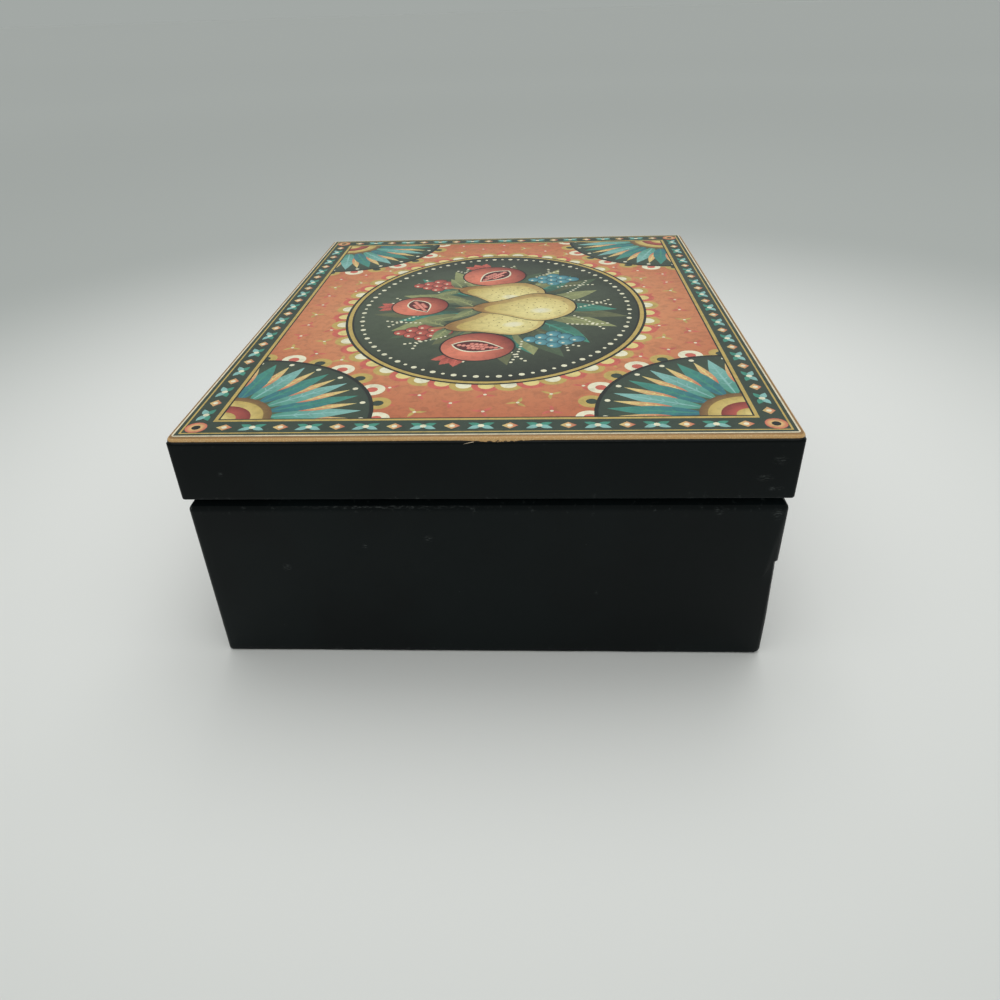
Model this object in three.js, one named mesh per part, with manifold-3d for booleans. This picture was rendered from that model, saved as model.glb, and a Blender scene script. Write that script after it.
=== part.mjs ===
// A musical jewellery box: a lacquered wooden case with a hinged picture lid, a velvet-lined tray and a
// key-wound musical movement under a clear cover. Millimetres, +X right, +Y back, +Z up.
import * as THREE from "three";
import { mergeVertices } from "three/addons/utils/BufferGeometryUtils.js";
import Module from "manifold-3d";

const wasm = await Module();
wasm.setup();

// Case
const LID_LENGTH = 178;
const LID_DEPTH = 146;
const LID_OVERHANG = 0.5;
const LID_GAP = 0.7;
const LID_HEIGHT = 15.4;
const BASE_HEIGHT = 49;
const WALL = 8;
const CHAMFER_RUN = 2;
const CHAMFER_RISE = 2.4;
const EASED_EDGE = 0.8;
const FLOOR_T = 4;
const GROOVE = 3;
const FIT = 0.1; // between glued or pressed pieces
const OVERCUT = 1; // how far a cut runs past the face that it opens

// Lid
const BOARD_T = 3;
const RABBET = 3;
const PANEL_T = 1.25;
const PANEL_CORNER = 2;
const PANEL_ROUND = 1;
const SHEET_T = 0.15;
const SHEET_INSET = 1.2;
const MIRROR_T = 3;
const MIRROR_BEVEL = 8;
const MIRROR_EDGE_T = 2;
const MIRROR_FIT = 0.3;
const LID_BORDER = 10;
const LID_LIP = 4;
const LID_LIP_T = 1.6;

// Tray
const LINING_T = 1.5;
const LINING_DROP = 1.5;
const FLOOR_LINING_T = 1;
const PARTITION_T = 3;
const FRONT_LEFT_WIDTH = 90;
const ROLL_COUNT = 5;
const ROLL_HEIGHT = 21;
const ROLL_GAP = 0.4;
const ROLL_END = 4;
const COVER_T = 2;
const COVER_CLEAR = 2.3;
const LEDGE = 4;
const BAY_CLEAR = 4;

// Hinges
const HINGE_INSET = 22.5;
const HINGE_LENGTH = 28;
const HINGE_CLEAR = 0.2;
const KNUCKLE_R = 1.8;
const KNUCKLES = 5;
const KNUCKLE_GAP = 0.3;
const KNUCKLE_CLEAR = 0.25;
const PIN_R = 0.9;
const PIN_FIT = 0.15;
const PIN_HEAD_R = 1.4;
const PIN_HEAD_T = 0.6;
const LEAF_T = 0.8;
const LEAF_GAP = 0.2;
const LEAF_DEPTH = 6.5;

// Movement frame
const PLATE_T = 2.5;
const PLATE_EDGE = 1;
const PLATE_CORNER = 3;
const POST_T = 1.6;
const POST_R = 3.2;
const BEARING_R = 2.2;
const BRACKET_T = 1.2;
const BRACKET_WIDTH = 5;
const RUN_GAP = 0.4;
const BEARING_FIT = 0.15;
const SCREW_IN = 4.5;
const SCREW_R = 1.1;
const SCREW_HEAD_R = 2.2;
const SCREW_HEAD_T = 1.3;
const SCREW_SLOT = 0.6;
const COMB_SCREW_LENGTH = 5;

// Winding
const KEY_HEIGHT = 9.5;
const KEY_GAP = 0.8;
const KEY_GROUND = 1.7;
const KEY_HALF = 12;
const KEY_EAR_R = 3.2;
const KEY_EYE_R = 1.5;
const KEY_WAIST = 1;
const KEY_PLATE_T = 1.8;
const KEY_HUB_R = 3.2;
const ARBOR_R = 1.9;
const ARBOR_IN_KEY = 5;
const BARREL_H = 7.5;
const BARREL_STEP = 1.5;
const BARREL_WALL = 0.7;
const SPRING_T = 0.45;
const SPRING_TURNS = 5;
const SPRING_CLEAR = 0.4;

// Wheels
const PRESSURE = THREE.MathUtils.degToRad(20);
const ADDENDUM = 0.85;
const DEDENDUM = 1.2;
const TOOTH_SHARE = 0.42;
const CROWN_MODULE = 0.7;
const CROWN_TEETH = 30;
const CROWN_FACE = 1.6;
const PINION_TEETH = 12;
const PINION_FACE = 1.2;
const WEB_T = 1.2;
const TRAIN_MODULE = 0.5;
const GREAT_TEETH = 30;
const IDLER_TEETH = 10;
const IDLER_TURN = THREE.MathUtils.degToRad(-30);
const GEAR_FACE = 1.4;
const WORM_MODULE = 0.6;
const WORM_WHEEL_TEETH = 16;
const WORM_WHEEL_FACE = 1.6;
const WORM_WHEEL_SHARE = 0.36;
const WORM_SHARE = 0.38;
const WORM_R = 1.7;
const WORM_TURNS = 3;
const CYLINDER_ARBOR_R = 1.2;
const IDLER_ARBOR_R = 0.8;
const WORM_ARBOR_R = 0.7;
const FAN_CLEAR = 1.2;
const FAN_T = 1.2;
const FAN_HEIGHT = 3.2;
const FAN_HUB_R = 1.6;

// Cylinder and comb
const DRUM_R = 6;
const DRUM_END = 0.65;
const DRUM_PIN_SIZE = 0.45;
const DRUM_PIN_HEIGHT = 0.7;
const DRUM_PIN_SUNK = 0.4;
const NOTES_A_TOOTH = 3;
const COMB_TEETH = 18;
const COMB_PITCH = 1.15;
const COMB_SLOT = 0.3;
const COMB_T = 1;
const COMB_CLEAR = 0.3;
const COMB_LONG = 11;
const COMB_SHORT = 8;
const COMB_CLAMP = 7;
const COMB_SCREW_IN = 3.4;

// Lid stop
const PLUNGER_R = 1;
const PLUNGER_CAP_R = 2;
const PLUNGER_CAP_T = 2.5;
const PLUNGER_COLLAR_T = 0.8;
const PLUNGER_COLLAR_R = 1.7;
const PLUNGER_TRAVEL = 3;
const PLUNGER_CLEAR = 0.3;
const FAN_GRIP = 1.5;
const GUIDE_R = 2.2;
const GUIDE_FLANGE_R = 3.4;
const GUIDE_FLANGE_T = 0.8;
const STOP_SPRING_WIRE_R = 0.25;
const STOP_SPRING_R = 1.5;
const STOP_SPRING_CURLS = 4;

// Case, worked out
const BASE_LENGTH = LID_LENGTH - 2 * LID_OVERHANG;
const BASE_DEPTH = LID_DEPTH - 2 * LID_OVERHANG;
const FLOOR_RISE = KEY_GROUND + KEY_HEIGHT + KEY_GAP;
const FLOOR_TOP = FLOOR_RISE + FLOOR_T;
const TRAY_LENGTH = BASE_LENGTH - 2 * (WALL + FIT + LINING_T);
const TRAY_DEPTH = BASE_DEPTH - 2 * (WALL + FIT + LINING_T);
const TRAY_FLOOR = FLOOR_TOP + FIT + FLOOR_LINING_T;
const LID_BOTTOM = BASE_HEIGHT + LID_GAP;
const LID_TOP = LID_BOTTOM + LID_HEIGHT;
const BOARD_BOTTOM = LID_TOP - BOARD_T;
const MIRROR_TOP = BOARD_BOTTOM - FIT;
const LID_LINING_BOTTOM = MIRROR_TOP - MIRROR_T - FIT - LID_LIP_T;
const HINGE_X = BASE_LENGTH / 2 - HINGE_INSET - HINGE_LENGTH / 2;
const HINGE_Y = LID_DEPTH / 2 + HINGE_CLEAR + KNUCKLE_R;
const HINGE_Z = BASE_HEIGHT + LID_GAP / 2;
const HINGE_PROUD = HINGE_CLEAR + 2 * KNUCKLE_R;

// Train of wheels, worked out from the winding arbor outwards
const CROWN_R = (CROWN_MODULE * CROWN_TEETH) / 2;
const CROWN_OUT = CROWN_R + CROWN_FACE / 2;
const PINION_R = (CROWN_MODULE * PINION_TEETH) / 2;
const BARREL_R = CROWN_OUT - BARREL_STEP;
const BARREL_Z = PLATE_T + FIT;
const WEB_Z = BARREL_Z + BARREL_H + RUN_GAP;
const CROWN_ROOT_Z = WEB_Z + WEB_T;
const CROWN_PITCH_Z = CROWN_ROOT_Z + DEDENDUM * CROWN_MODULE;
const DRUM_Z = CROWN_PITCH_Z + PINION_R;
const LEFT_POST_X = CROWN_OUT + RUN_GAP;
const DRUM_X = LEFT_POST_X + POST_T + RUN_GAP;
const DRUM_LENGTH = COMB_TEETH * COMB_PITCH + 2 * DRUM_END;
const RIGHT_POST_X = DRUM_X + DRUM_LENGTH + RUN_GAP;
const GREAT_X = RIGHT_POST_X + POST_T + RUN_GAP;
const GREAT_R = (TRAIN_MODULE * GREAT_TEETH) / 2;
const IDLER_R = (TRAIN_MODULE * IDLER_TEETH) / 2;
const IDLER_Y = (GREAT_R + IDLER_R) * Math.cos(IDLER_TURN);
const IDLER_Z = DRUM_Z + (GREAT_R + IDLER_R) * Math.sin(IDLER_TURN);
const WORM_WHEEL_X = GREAT_X + GEAR_FACE + RUN_GAP;
const WORM_WHEEL_R = (WORM_MODULE * WORM_WHEEL_TEETH) / 2;
const WORM_LEAD = Math.PI * WORM_MODULE;
const WORM_TIP = WORM_R + ADDENDUM * WORM_MODULE;
const WORM_ROOT = WORM_R - DEDENDUM * WORM_MODULE;
const WORM_X = WORM_WHEEL_X + WORM_WHEEL_FACE / 2;
const WORM_Y = IDLER_Y + WORM_WHEEL_R + WORM_R;
const BRACKET_X = WORM_X + WORM_TIP + RUN_GAP;
const FOOT_Z = PLATE_T + FIT;
const ARM_Z = IDLER_Z + WORM_WHEEL_R + ADDENDUM * WORM_MODULE + RUN_GAP;
const FAN_Z = ARM_Z + BRACKET_T + RUN_GAP;
const FAN_R = WORM_Y - GREAT_R - ADDENDUM * TRAIN_MODULE - FAN_CLEAR;
const SLOT_HALF = SCREW_SLOT / 2;
const COMB_TIP_Y = -(DRUM_R + DRUM_PIN_HEIGHT + COMB_CLEAR);
const COMB_BACK_Y = COMB_TIP_Y - COMB_LONG - COMB_CLAMP;
const COMB_WIDTH = COMB_TEETH * COMB_PITCH;
const COMB_X = DRUM_X + DRUM_END;
const COMB_Z = DRUM_Z - COMB_T / 2;

// Movement in its bay
const PLATE_LEFT = -CROWN_OUT - PLATE_EDGE;
const PLATE_RIGHT = BRACKET_X + BRACKET_T + PLATE_EDGE;
const PLATE_FRONT = COMB_BACK_Y - PLATE_EDGE;
const PLATE_BACK = WORM_Y + FAN_R + PLATE_EDGE;
const BAY_RIGHT = -TRAY_LENGTH / 2 + 2 * BAY_CLEAR + PLATE_RIGHT - PLATE_LEFT;
const BAY_FRONT = TRAY_DEPTH / 2 - 2 * BAY_CLEAR - PLATE_BACK + PLATE_FRONT;
const MOVEMENT_X = -TRAY_LENGTH / 2 + BAY_CLEAR - PLATE_LEFT;
const MOVEMENT_Y = TRAY_DEPTH / 2 - BAY_CLEAR - PLATE_BACK;
const MOVEMENT_Z = FLOOR_TOP + FIT;
const WIDEST_R = Math.max(DRUM_R + DRUM_PIN_HEIGHT, GREAT_R + ADDENDUM * TRAIN_MODULE);
const COVER_SEAT = MOVEMENT_Z + DRUM_Z + WIDEST_R + COVER_CLEAR;
const COVER_Z = COVER_SEAT + FIT;
const PLUNGER_Y = WORM_Y + FAN_R - FAN_GRIP;
const PLUNGER_TOP = LID_LINING_BOTTOM - PLUNGER_CLEAR - MOVEMENT_Z;
const GUIDE_BOTTOM = COVER_Z - MOVEMENT_Z;
const GUIDE_TOP = GUIDE_BOTTOM + COVER_T + FIT + GUIDE_FLANGE_T;

// Finishes
const LACQUER = { color: 0x171b1c, roughness: 0.32, metalness: 0 };
const GILT = { color: 0xaa8b62, roughness: 0.4, metalness: 0.6 };
const PRINT = { color: 0xcb8862, roughness: 0.4, metalness: 0 };
const VELVET = { color: 0x5a1420, roughness: 0.9, metalness: 0 };
const SILVERED = { color: 0xd8dcdc, roughness: 0.03, metalness: 1 };
const CLEAR = { color: 0xe8eeee, roughness: 0.05, metalness: 0, transparent: true, opacity: 0.3 };
const FIBREBOARD = { color: 0x8a6a48, roughness: 0.8, metalness: 0 };
const BRASS = { color: 0xb08d4c, roughness: 0.3, metalness: 1 };
const STEEL = { color: 0xa8acae, roughness: 0.3, metalness: 1 };
const ZINC = { color: 0x8e9294, roughness: 0.45, metalness: 1 };
const NYLON = { color: 0xe6e2d6, roughness: 0.5, metalness: 0 };

// Shared vertices, no collapsed triangles, faces outwards
function weld(geometry) {
  const loose = geometry.index ? geometry.toNonIndexed() : geometry;
  const bare = new THREE.BufferGeometry().setAttribute("position", loose.getAttribute("position"));
  const merged = mergeVertices(bare, 1e-4);
  const points = merged.getAttribute("position");
  const corner = (i) => new THREE.Vector3().fromBufferAttribute(points, i);
  const faces = [];
  let volume = 0;
  for (let i = 0; i < merged.index.count; i += 3) {
    const [a, b, c] = merged.index.array.slice(i, i + 3);
    if (a === b || b === c || c === a) continue;
    faces.push([a, b, c]);
    volume += corner(a).dot(corner(b).cross(corner(c)));
  }
  const outward = volume > 0 ? faces : faces.map(([a, b, c]) => [a, c, b]);
  return merged.setIndex(outward.flat());
}

function solid(geometry) {
  const welded = weld(geometry);
  return new wasm.Manifold(
    new wasm.Mesh({
      numProp: 3,
      vertProperties: welded.getAttribute("position").array,
      triVerts: new Uint32Array(welded.index.array),
    }),
  );
}

function surface(made) {
  const { vertProperties, triVerts } = made.getMesh();
  const geometry = new THREE.BufferGeometry();
  geometry.setAttribute("position", new THREE.BufferAttribute(vertProperties, 3));
  return geometry.setIndex(new THREE.BufferAttribute(triVerts, 1));
}

// Pieces joined into one body, with other pieces cut away
function shaped(joined, removed = []) {
  const whole = joined.map(solid).reduce((sum, next) => sum.add(next));
  return surface(removed.map(solid).reduce((rest, next) => rest.subtract(next), whole));
}

function block(x0, x1, y0, y1, z0, z1) {
  const geometry = new THREE.BoxGeometry(x1 - x0, y1 - y0, z1 - z0);
  return geometry.translate((x0 + x1) / 2, (y0 + y1) / 2, (z0 + z1) / 2);
}

// Turned about Z from a closed profile of [radius, z]
function turned(profile, sides = 24) {
  const outline = [...profile, profile[0]].map(([r, z]) => new THREE.Vector2(r, z));
  return weld(new THREE.LatheGeometry(outline, sides).rotateX(Math.PI / 2));
}

function rod(radius, z0, z1, sides = 16) {
  return turned([[0, z0], [radius, z0], [radius, z1], [0, z1]], sides);
}

// Swaps the axes round, so that what stood along Z lies along X
function alongX(geometry) {
  return geometry.applyMatrix4(new THREE.Matrix4().set(0, 0, 1, 0, 1, 0, 0, 0, 0, 1, 0, 0, 0, 0, 0, 1));
}

function extruded(outline, depth, curveSegments = 8) {
  return new THREE.ExtrudeGeometry(outline, { depth, curveSegments, bevelEnabled: false });
}

function polygon(points) {
  return new THREE.Shape(points.map(([x, y]) => new THREE.Vector2(x, y)));
}

function roundHole(outline, x, y, radius) {
  outline.holes.push(new THREE.Path().absarc(x, y, radius, 0, 2 * Math.PI));
  return outline;
}

function roundedRectangle(x0, x1, y0, y1, radius) {
  const outline = new THREE.Shape();
  outline.absarc(x1 - radius, y1 - radius, radius, 0, Math.PI / 2);
  outline.absarc(x0 + radius, y1 - radius, radius, Math.PI / 2, Math.PI);
  outline.absarc(x0 + radius, y0 + radius, radius, Math.PI, 1.5 * Math.PI);
  outline.absarc(x1 - radius, y0 + radius, radius, 1.5 * Math.PI, 2 * Math.PI);
  return outline;
}

// A skin through rings of points: closed at both ends, or a loop back to the first ring
function loft(rings, looped = false) {
  const count = rings[0].length;
  const points = rings.flat();
  const faces = [];
  const at = (ring, k) => (ring % rings.length) * count + (k % count);
  for (let ring = 0; ring < rings.length - (looped ? 0 : 1); ring += 1) {
    for (let k = 0; k < count; k += 1) {
      faces.push(at(ring, k), at(ring, k + 1), at(ring + 1, k + 1));
      faces.push(at(ring, k), at(ring + 1, k + 1), at(ring + 1, k));
    }
  }
  if (!looped) {
    for (const [ring, turn] of [[0, 1], [rings.length - 1, 0]]) {
      const middle = points.length;
      const sum = rings[ring].reduce((total, point) => total.add(point), new THREE.Vector3());
      points.push(sum.divideScalar(count));
      for (let k = 0; k < count; k += 1) faces.push(middle, at(ring, k + turn), at(ring, k + 1 - turn));
    }
  }
  return weld(new THREE.BufferGeometry().setFromPoints(points).setIndex(faces));
}

// A mitred length of moulding with a section of [inward, up], its outer face on y = 0
function mitred(section, length) {
  const geometry = extruded(polygon(section), length);
  const points = geometry.getAttribute("position");
  for (let i = 0; i < points.count; i += 1) {
    const inward = points.getX(i);
    const end = length / 2 - inward - FIT / 2;
    points.setXYZ(i, points.getZ(i) < length / 2 ? -end : end, inward, points.getY(i));
  }
  return geometry;
}

function piece(group, name, geometry, finish, position = [0, 0, 0]) {
  const mesh = new THREE.Mesh(weld(geometry), new THREE.MeshStandardMaterial(finish));
  mesh.name = name;
  mesh.position.set(...position);
  group.add(mesh);
  return mesh;
}

// Four mitred mouldings round a rectangle, with the mortises cut in the back one
function mitredFrame(group, name, section, length, depth, finish, mortises = []) {
  const sides = [
    ["front", length, 0, -depth / 2],
    ["right", depth, length / 2, 0],
    ["back", length, 0, depth / 2],
    ["left", depth, -length / 2, 0],
  ];
  sides.forEach(([side, run, x, y], turn) => {
    const plain = mitred(section, run);
    const cut = side === "back" && mortises.length > 0;
    const mesh = piece(group, name(side), cut ? shaped([plain], mortises) : plain, finish, [x, y, 0]);
    mesh.rotation.z = (turn * Math.PI) / 2;
  });
}

// Pockets for the hinge leaves, in the frame of the back moulding
function hingeMortises(depth, z0, z1) {
  const half = HINGE_LENGTH / 2 + FIT;
  return [-1, 1].map((side) => {
    const middle = side * HINGE_X;
    return block(middle - half, middle + half, -OVERCUT, depth + FIT, z0, z1);
  });
}

// Points along a strip or wire stay further apart than it is thick: the least gap between turns
function leastGap(points, stepsApart, thickness) {
  let least = Infinity;
  points.forEach((point, i) => {
    points.slice(i + stepsApart).forEach((other) => {
      least = Math.min(least, point.distanceTo(other) - thickness);
    });
  });
  return least;
}

function baseWalls(group) {
  const section = [
    [EASED_EDGE, 0],
    [0, EASED_EDGE],
    [0, BASE_HEIGHT - CHAMFER_RISE],
    [CHAMFER_RUN, BASE_HEIGHT],
    [WALL, BASE_HEIGHT],
    [WALL, FLOOR_TOP + FIT],
    [WALL - GROOVE, FLOOR_TOP + FIT],
    [WALL - GROOVE, FLOOR_RISE - FIT],
    [WALL, FLOOR_RISE - FIT],
    [WALL, 0],
  ];
  const leafBottom = HINGE_Z - LEAF_GAP / 2 - LEAF_T - FIT;
  const mortises = hingeMortises(LEAF_DEPTH - LID_OVERHANG, leafBottom, BASE_HEIGHT + LID_GAP);
  mitredFrame(group, (side) => `base_${side}_wall`, section, BASE_LENGTH, BASE_DEPTH, LACQUER, mortises);
}

// Places of the two screws that hold the movement, in the movement's frame
function plateScrews() {
  return [PLATE_LEFT + SCREW_IN, PLATE_RIGHT - SCREW_IN].map((x) => [x, PLATE_FRONT + SCREW_IN]);
}

// A countersunk screw or, grown all round, its hole
function countersunk(grown, top) {
  const shank = SCREW_R + grown;
  const head = SCREW_HEAD_R + grown;
  return turned([[0, 0], [head, 0], [shank, SCREW_HEAD_T], [shank, top], [0, top]], 16);
}

function baseFloor(group) {
  const halfX = BASE_LENGTH / 2 - WALL + GROOVE - FIT;
  const halfY = BASE_DEPTH / 2 - WALL + GROOVE - FIT;
  const panel = polygon([[-halfX, -halfY], [halfX, -halfY], [halfX, halfY], [-halfX, halfY]]);
  roundHole(panel, MOVEMENT_X, MOVEMENT_Y, ARBOR_R + RUN_GAP);
  const holes = plateScrews().map(([x, y]) =>
    countersunk(FIT, FLOOR_T + OVERCUT).translate(MOVEMENT_X + x, MOVEMENT_Y + y, -FIT),
  );
  piece(group, "base_floor", shaped([extruded(panel, FLOOR_T)], holes), FIBREBOARD, [0, 0, FLOOR_RISE]);
}

function linings(group) {
  const top = BASE_HEIGHT - LINING_DROP;
  const bottom = FLOOR_TOP + FIT;
  const section = [
    [0, bottom],
    [0, top],
    [LINING_T / 2, top],
    [LINING_T, top - LINING_T],
    [LINING_T, bottom],
  ];
  const inner = 2 * (WALL + FIT);
  mitredFrame(group, (side) => `lining_${side}`, section, BASE_LENGTH - inner, BASE_DEPTH - inner, VELVET);

  const halfX = TRAY_LENGTH / 2 - FIT;
  const halfY = TRAY_DEPTH / 2 - FIT;
  const aroundBay = polygon([
    [-halfX, -halfY],
    [halfX, -halfY],
    [halfX, halfY],
    [BAY_RIGHT, halfY],
    [BAY_RIGHT, BAY_FRONT],
    [-halfX, BAY_FRONT],
  ]);
  piece(group, "floor_lining", extruded(aroundBay, FLOOR_LINING_T), VELVET, [0, 0, FLOOR_TOP + FIT]);
}

// A padded board on edge along X, rounded over at the top
function partition(length) {
  const height = COVER_SEAT - TRAY_FLOOR - FIT;
  const half = PARTITION_T / 2;
  const outline = new THREE.Shape();
  outline.moveTo(-half, 0);
  outline.lineTo(half, 0);
  outline.absarc(0, height - half, half, 0, Math.PI);
  return alongX(extruded(outline, length, 6).translate(0, 0, -length / 2));
}

function partitions(group) {
  const z = TRAY_FLOOR + FIT;
  const half = PARTITION_T / 2;
  const mainY = BAY_FRONT - half;
  piece(group, "partition_main", partition(TRAY_LENGTH - 2 * FIT), VELVET, [0, mainY, z]);

  const sideRun = TRAY_DEPTH / 2 - BAY_FRONT - 2 * FIT;
  const sideY = (TRAY_DEPTH / 2 + BAY_FRONT) / 2;
  const side = piece(group, "partition_side", partition(sideRun), VELVET, [BAY_RIGHT + half, sideY, z]);
  side.rotation.z = Math.PI / 2;

  const frontEdge = BAY_FRONT - PARTITION_T;
  const dividerRun = frontEdge + TRAY_DEPTH / 2 - 2 * FIT;
  const dividerX = -TRAY_LENGTH / 2 + FRONT_LEFT_WIDTH + half;
  const dividerY = (frontEdge - TRAY_DEPTH / 2) / 2;
  const divider = piece(group, "divider_front", partition(dividerRun), VELVET, [dividerX, dividerY, z]);
  divider.rotation.z = Math.PI / 2;
}

// A ring roll: a padded bar with a round crown, drawn-in foot and soft ends
function ringRoll(length, width) {
  const half = width / 2;
  const shoulder = ROLL_HEIGHT - half;
  const section = [[0.86, 0], [0.97, 0.5]].map(([share, rise]) => [half * share, shoulder * rise]);
  for (let i = 0; i <= 8; i += 1) {
    const angle = (i * Math.PI) / 8;
    section.push([half * Math.cos(angle), shoulder + half * Math.sin(angle)]);
  }
  section.push([-section[1][0], section[1][1]], [-section[0][0], 0]);
  const ends = [[0, 0.62], [0.12, 0.8], [0.4, 0.94], [1, 1]];
  const stations = ends.map(([share, full]) => [share * ROLL_END - length / 2, full]);
  const rings = [...stations, ...stations.toReversed().map(([x, full]) => [-x, full])];
  return loft(rings.map(([x, full]) =>
    section.map(([y, z]) => new THREE.Vector3(x, y * full, z * (0.5 + 0.5 * full))),
  ));
}

function ringRolls(group) {
  const left = BAY_RIGHT + PARTITION_T;
  const right = TRAY_LENGTH / 2;
  const pitch = (TRAY_DEPTH / 2 - BAY_FRONT) / ROLL_COUNT;
  for (let i = 0; i < ROLL_COUNT; i += 1) {
    const roll = ringRoll(right - left - 2 * ROLL_GAP, pitch - ROLL_GAP);
    const place = [(left + right) / 2, BAY_FRONT + pitch * (i + 0.5), TRAY_FLOOR + FIT];
    piece(group, `ring_roll_${i + 1}`, roll, VELVET, place);
  }
}

function movementCover(group) {
  const left = -TRAY_LENGTH / 2 + FIT;
  const back = TRAY_DEPTH / 2 - FIT;
  const front = BAY_FRONT - PARTITION_T;
  const right = BAY_RIGHT + PARTITION_T;
  const sheet = polygon([[left, front], [right, front], [right, back], [left, back]]);
  roundHole(sheet, MOVEMENT_X + WORM_X, MOVEMENT_Y + PLUNGER_Y, GUIDE_R + FIT);
  piece(group, "movement_cover", extruded(sheet, COVER_T), CLEAR, [0, 0, COVER_Z]);

  const strip = polygon([[-LEDGE, 0], [0, -LEDGE], [0, 0]]);
  const run = BAY_RIGHT - left - FIT;
  piece(group, "cover_ledge", alongX(extruded(strip, run)), FIBREBOARD, [left, back, COVER_SEAT]);
}

// One leaf of a hinge about its pin with every other knuckle, lying as the lower leaf does
function hingeLeaf(firstKnuckle) {
  const step = HINGE_LENGTH / KNUCKLES;
  const low = -LEAF_GAP / 2 - LEAF_T;
  const high = -LEAF_GAP / 2;
  const clear = -KNUCKLE_R - KNUCKLE_CLEAR;
  const inner = -HINGE_CLEAR - KNUCKLE_R - LEAF_DEPTH;
  const joined = [block(-HINGE_LENGTH / 2, HINGE_LENGTH / 2, inner, clear, low, high)];
  for (let i = firstKnuckle; i < KNUCKLES; i += 2) {
    const x0 = -HINGE_LENGTH / 2 + i * step + KNUCKLE_GAP / 2;
    const x1 = x0 + step - KNUCKLE_GAP;
    joined.push(block(x0, x1, clear - FIT, 0, low, high));
    joined.push(alongX(rod(KNUCKLE_R, x0, x1)));
  }
  const bore = alongX(rod(PIN_R + PIN_FIT, -HINGE_LENGTH, HINGE_LENGTH, 12));
  return shaped(joined, [bore]);
}

function hingePin() {
  const end = HINGE_LENGTH / 2 + FIT;
  const tip = end + PIN_HEAD_T;
  const profile = [[0, -tip], [PIN_R, -tip], [PIN_HEAD_R, -end], [PIN_R, -end]];
  profile.push(...profile.toReversed().map(([r, z]) => [r, -z]));
  return alongX(turned(profile, 12));
}

function hinges(base, lid) {
  for (const [name, side] of [["left", -1], ["right", 1]]) {
    const place = [side * HINGE_X, HINGE_Y, HINGE_Z];
    piece(base, `hinge_${name}_lower_leaf`, hingeLeaf(0), BRASS, place);
    piece(base, `hinge_${name}_pin`, hingePin(), BRASS, place);
    const upper = hingeLeaf(1).scale(1, 1, -1);
    piece(lid, `hinge_${name}_upper_leaf`, upper, BRASS, place);
  }
}

// Rings of a rounded rectangle, one for each [inset, z]
function slab(length, depth, corner, layers) {
  return loft(layers.map(([inset, z]) => {
    const x = length / 2 - inset;
    const y = depth / 2 - inset;
    const outline = roundedRectangle(-x, x, -y, y, Math.max(corner - inset, FIT)).getPoints(2);
    const ring = outline.filter((point, i) => i === 0 || point.distanceTo(outline[i - 1]) > 1e-6);
    return ring.map((point) => new THREE.Vector3(point.x, point.y, z));
  }));
}

function lidCase(group) {
  const section = [
    [EASED_EDGE / 2, LID_BOTTOM],
    [0, LID_BOTTOM + EASED_EDGE / 2],
    [0, LID_TOP],
    [WALL - RABBET, LID_TOP],
    [WALL - RABBET, BOARD_BOTTOM - FIT],
    [WALL, BOARD_BOTTOM - FIT],
    [WALL, LID_BOTTOM],
  ];
  const leafTop = HINGE_Z + LEAF_GAP / 2 + LEAF_T + FIT;
  const mortises = hingeMortises(LEAF_DEPTH, LID_BOTTOM - LID_GAP, leafTop);
  mitredFrame(group, (side) => `lid_${side}_rail`, section, LID_LENGTH, LID_DEPTH, LACQUER, mortises);

  const halfX = LID_LENGTH / 2 - WALL + RABBET - FIT;
  const halfY = LID_DEPTH / 2 - WALL + RABBET - FIT;
  const board = block(-halfX, halfX, -halfY, halfY, 0, BOARD_T - FIT);
  piece(group, "lid_board", board, FIBREBOARD, [0, 0, BOARD_BOTTOM]);

  const layers = [[0, 0]];
  for (let i = 0; i <= 4; i += 1) {
    const angle = (i * Math.PI) / 8;
    layers.push([PANEL_ROUND * (1 - Math.cos(angle)), PANEL_T - PANEL_ROUND * (1 - Math.sin(angle))]);
  }
  piece(group, "picture_panel", slab(LID_LENGTH, LID_DEPTH, PANEL_CORNER, layers), GILT, [0, 0, LID_TOP]);

  const sheetX = LID_LENGTH - 2 * SHEET_INSET;
  const sheetY = LID_DEPTH - 2 * SHEET_INSET;
  const sheet = slab(sheetX, sheetY, PANEL_CORNER - SHEET_INSET, [[0, 0], [0, SHEET_T]]);
  piece(group, "picture_sheet", sheet, PRINT, [0, 0, LID_TOP + PANEL_T]);
}

function lidInside(group) {
  const lipTop = LID_LINING_BOTTOM + LID_LIP_T;
  const reach = LID_BORDER + LID_LIP;
  const section = [
    [0, LID_LINING_BOTTOM],
    [reach - LID_LIP_T, LID_LINING_BOTTOM],
    [reach, lipTop],
    [LID_BORDER, lipTop],
    [LID_BORDER, MIRROR_TOP],
    [0, MIRROR_TOP],
  ];
  const inner = 2 * (WALL + FIT);
  mitredFrame(group, (side) => `lid_lining_${side}`, section, LID_LENGTH - inner, LID_DEPTH - inner, VELVET);

  const border = 2 * (WALL + FIT + LID_BORDER + MIRROR_FIT);
  const bevel = [[0, MIRROR_T], [0, MIRROR_T - MIRROR_EDGE_T], [MIRROR_BEVEL, 0]];
  const glass = slab(LID_LENGTH - border, LID_DEPTH - border, 1, bevel);
  piece(group, "mirror", glass, SILVERED, [0, 0, MIRROR_TOP - MIRROR_T]);
}

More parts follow.
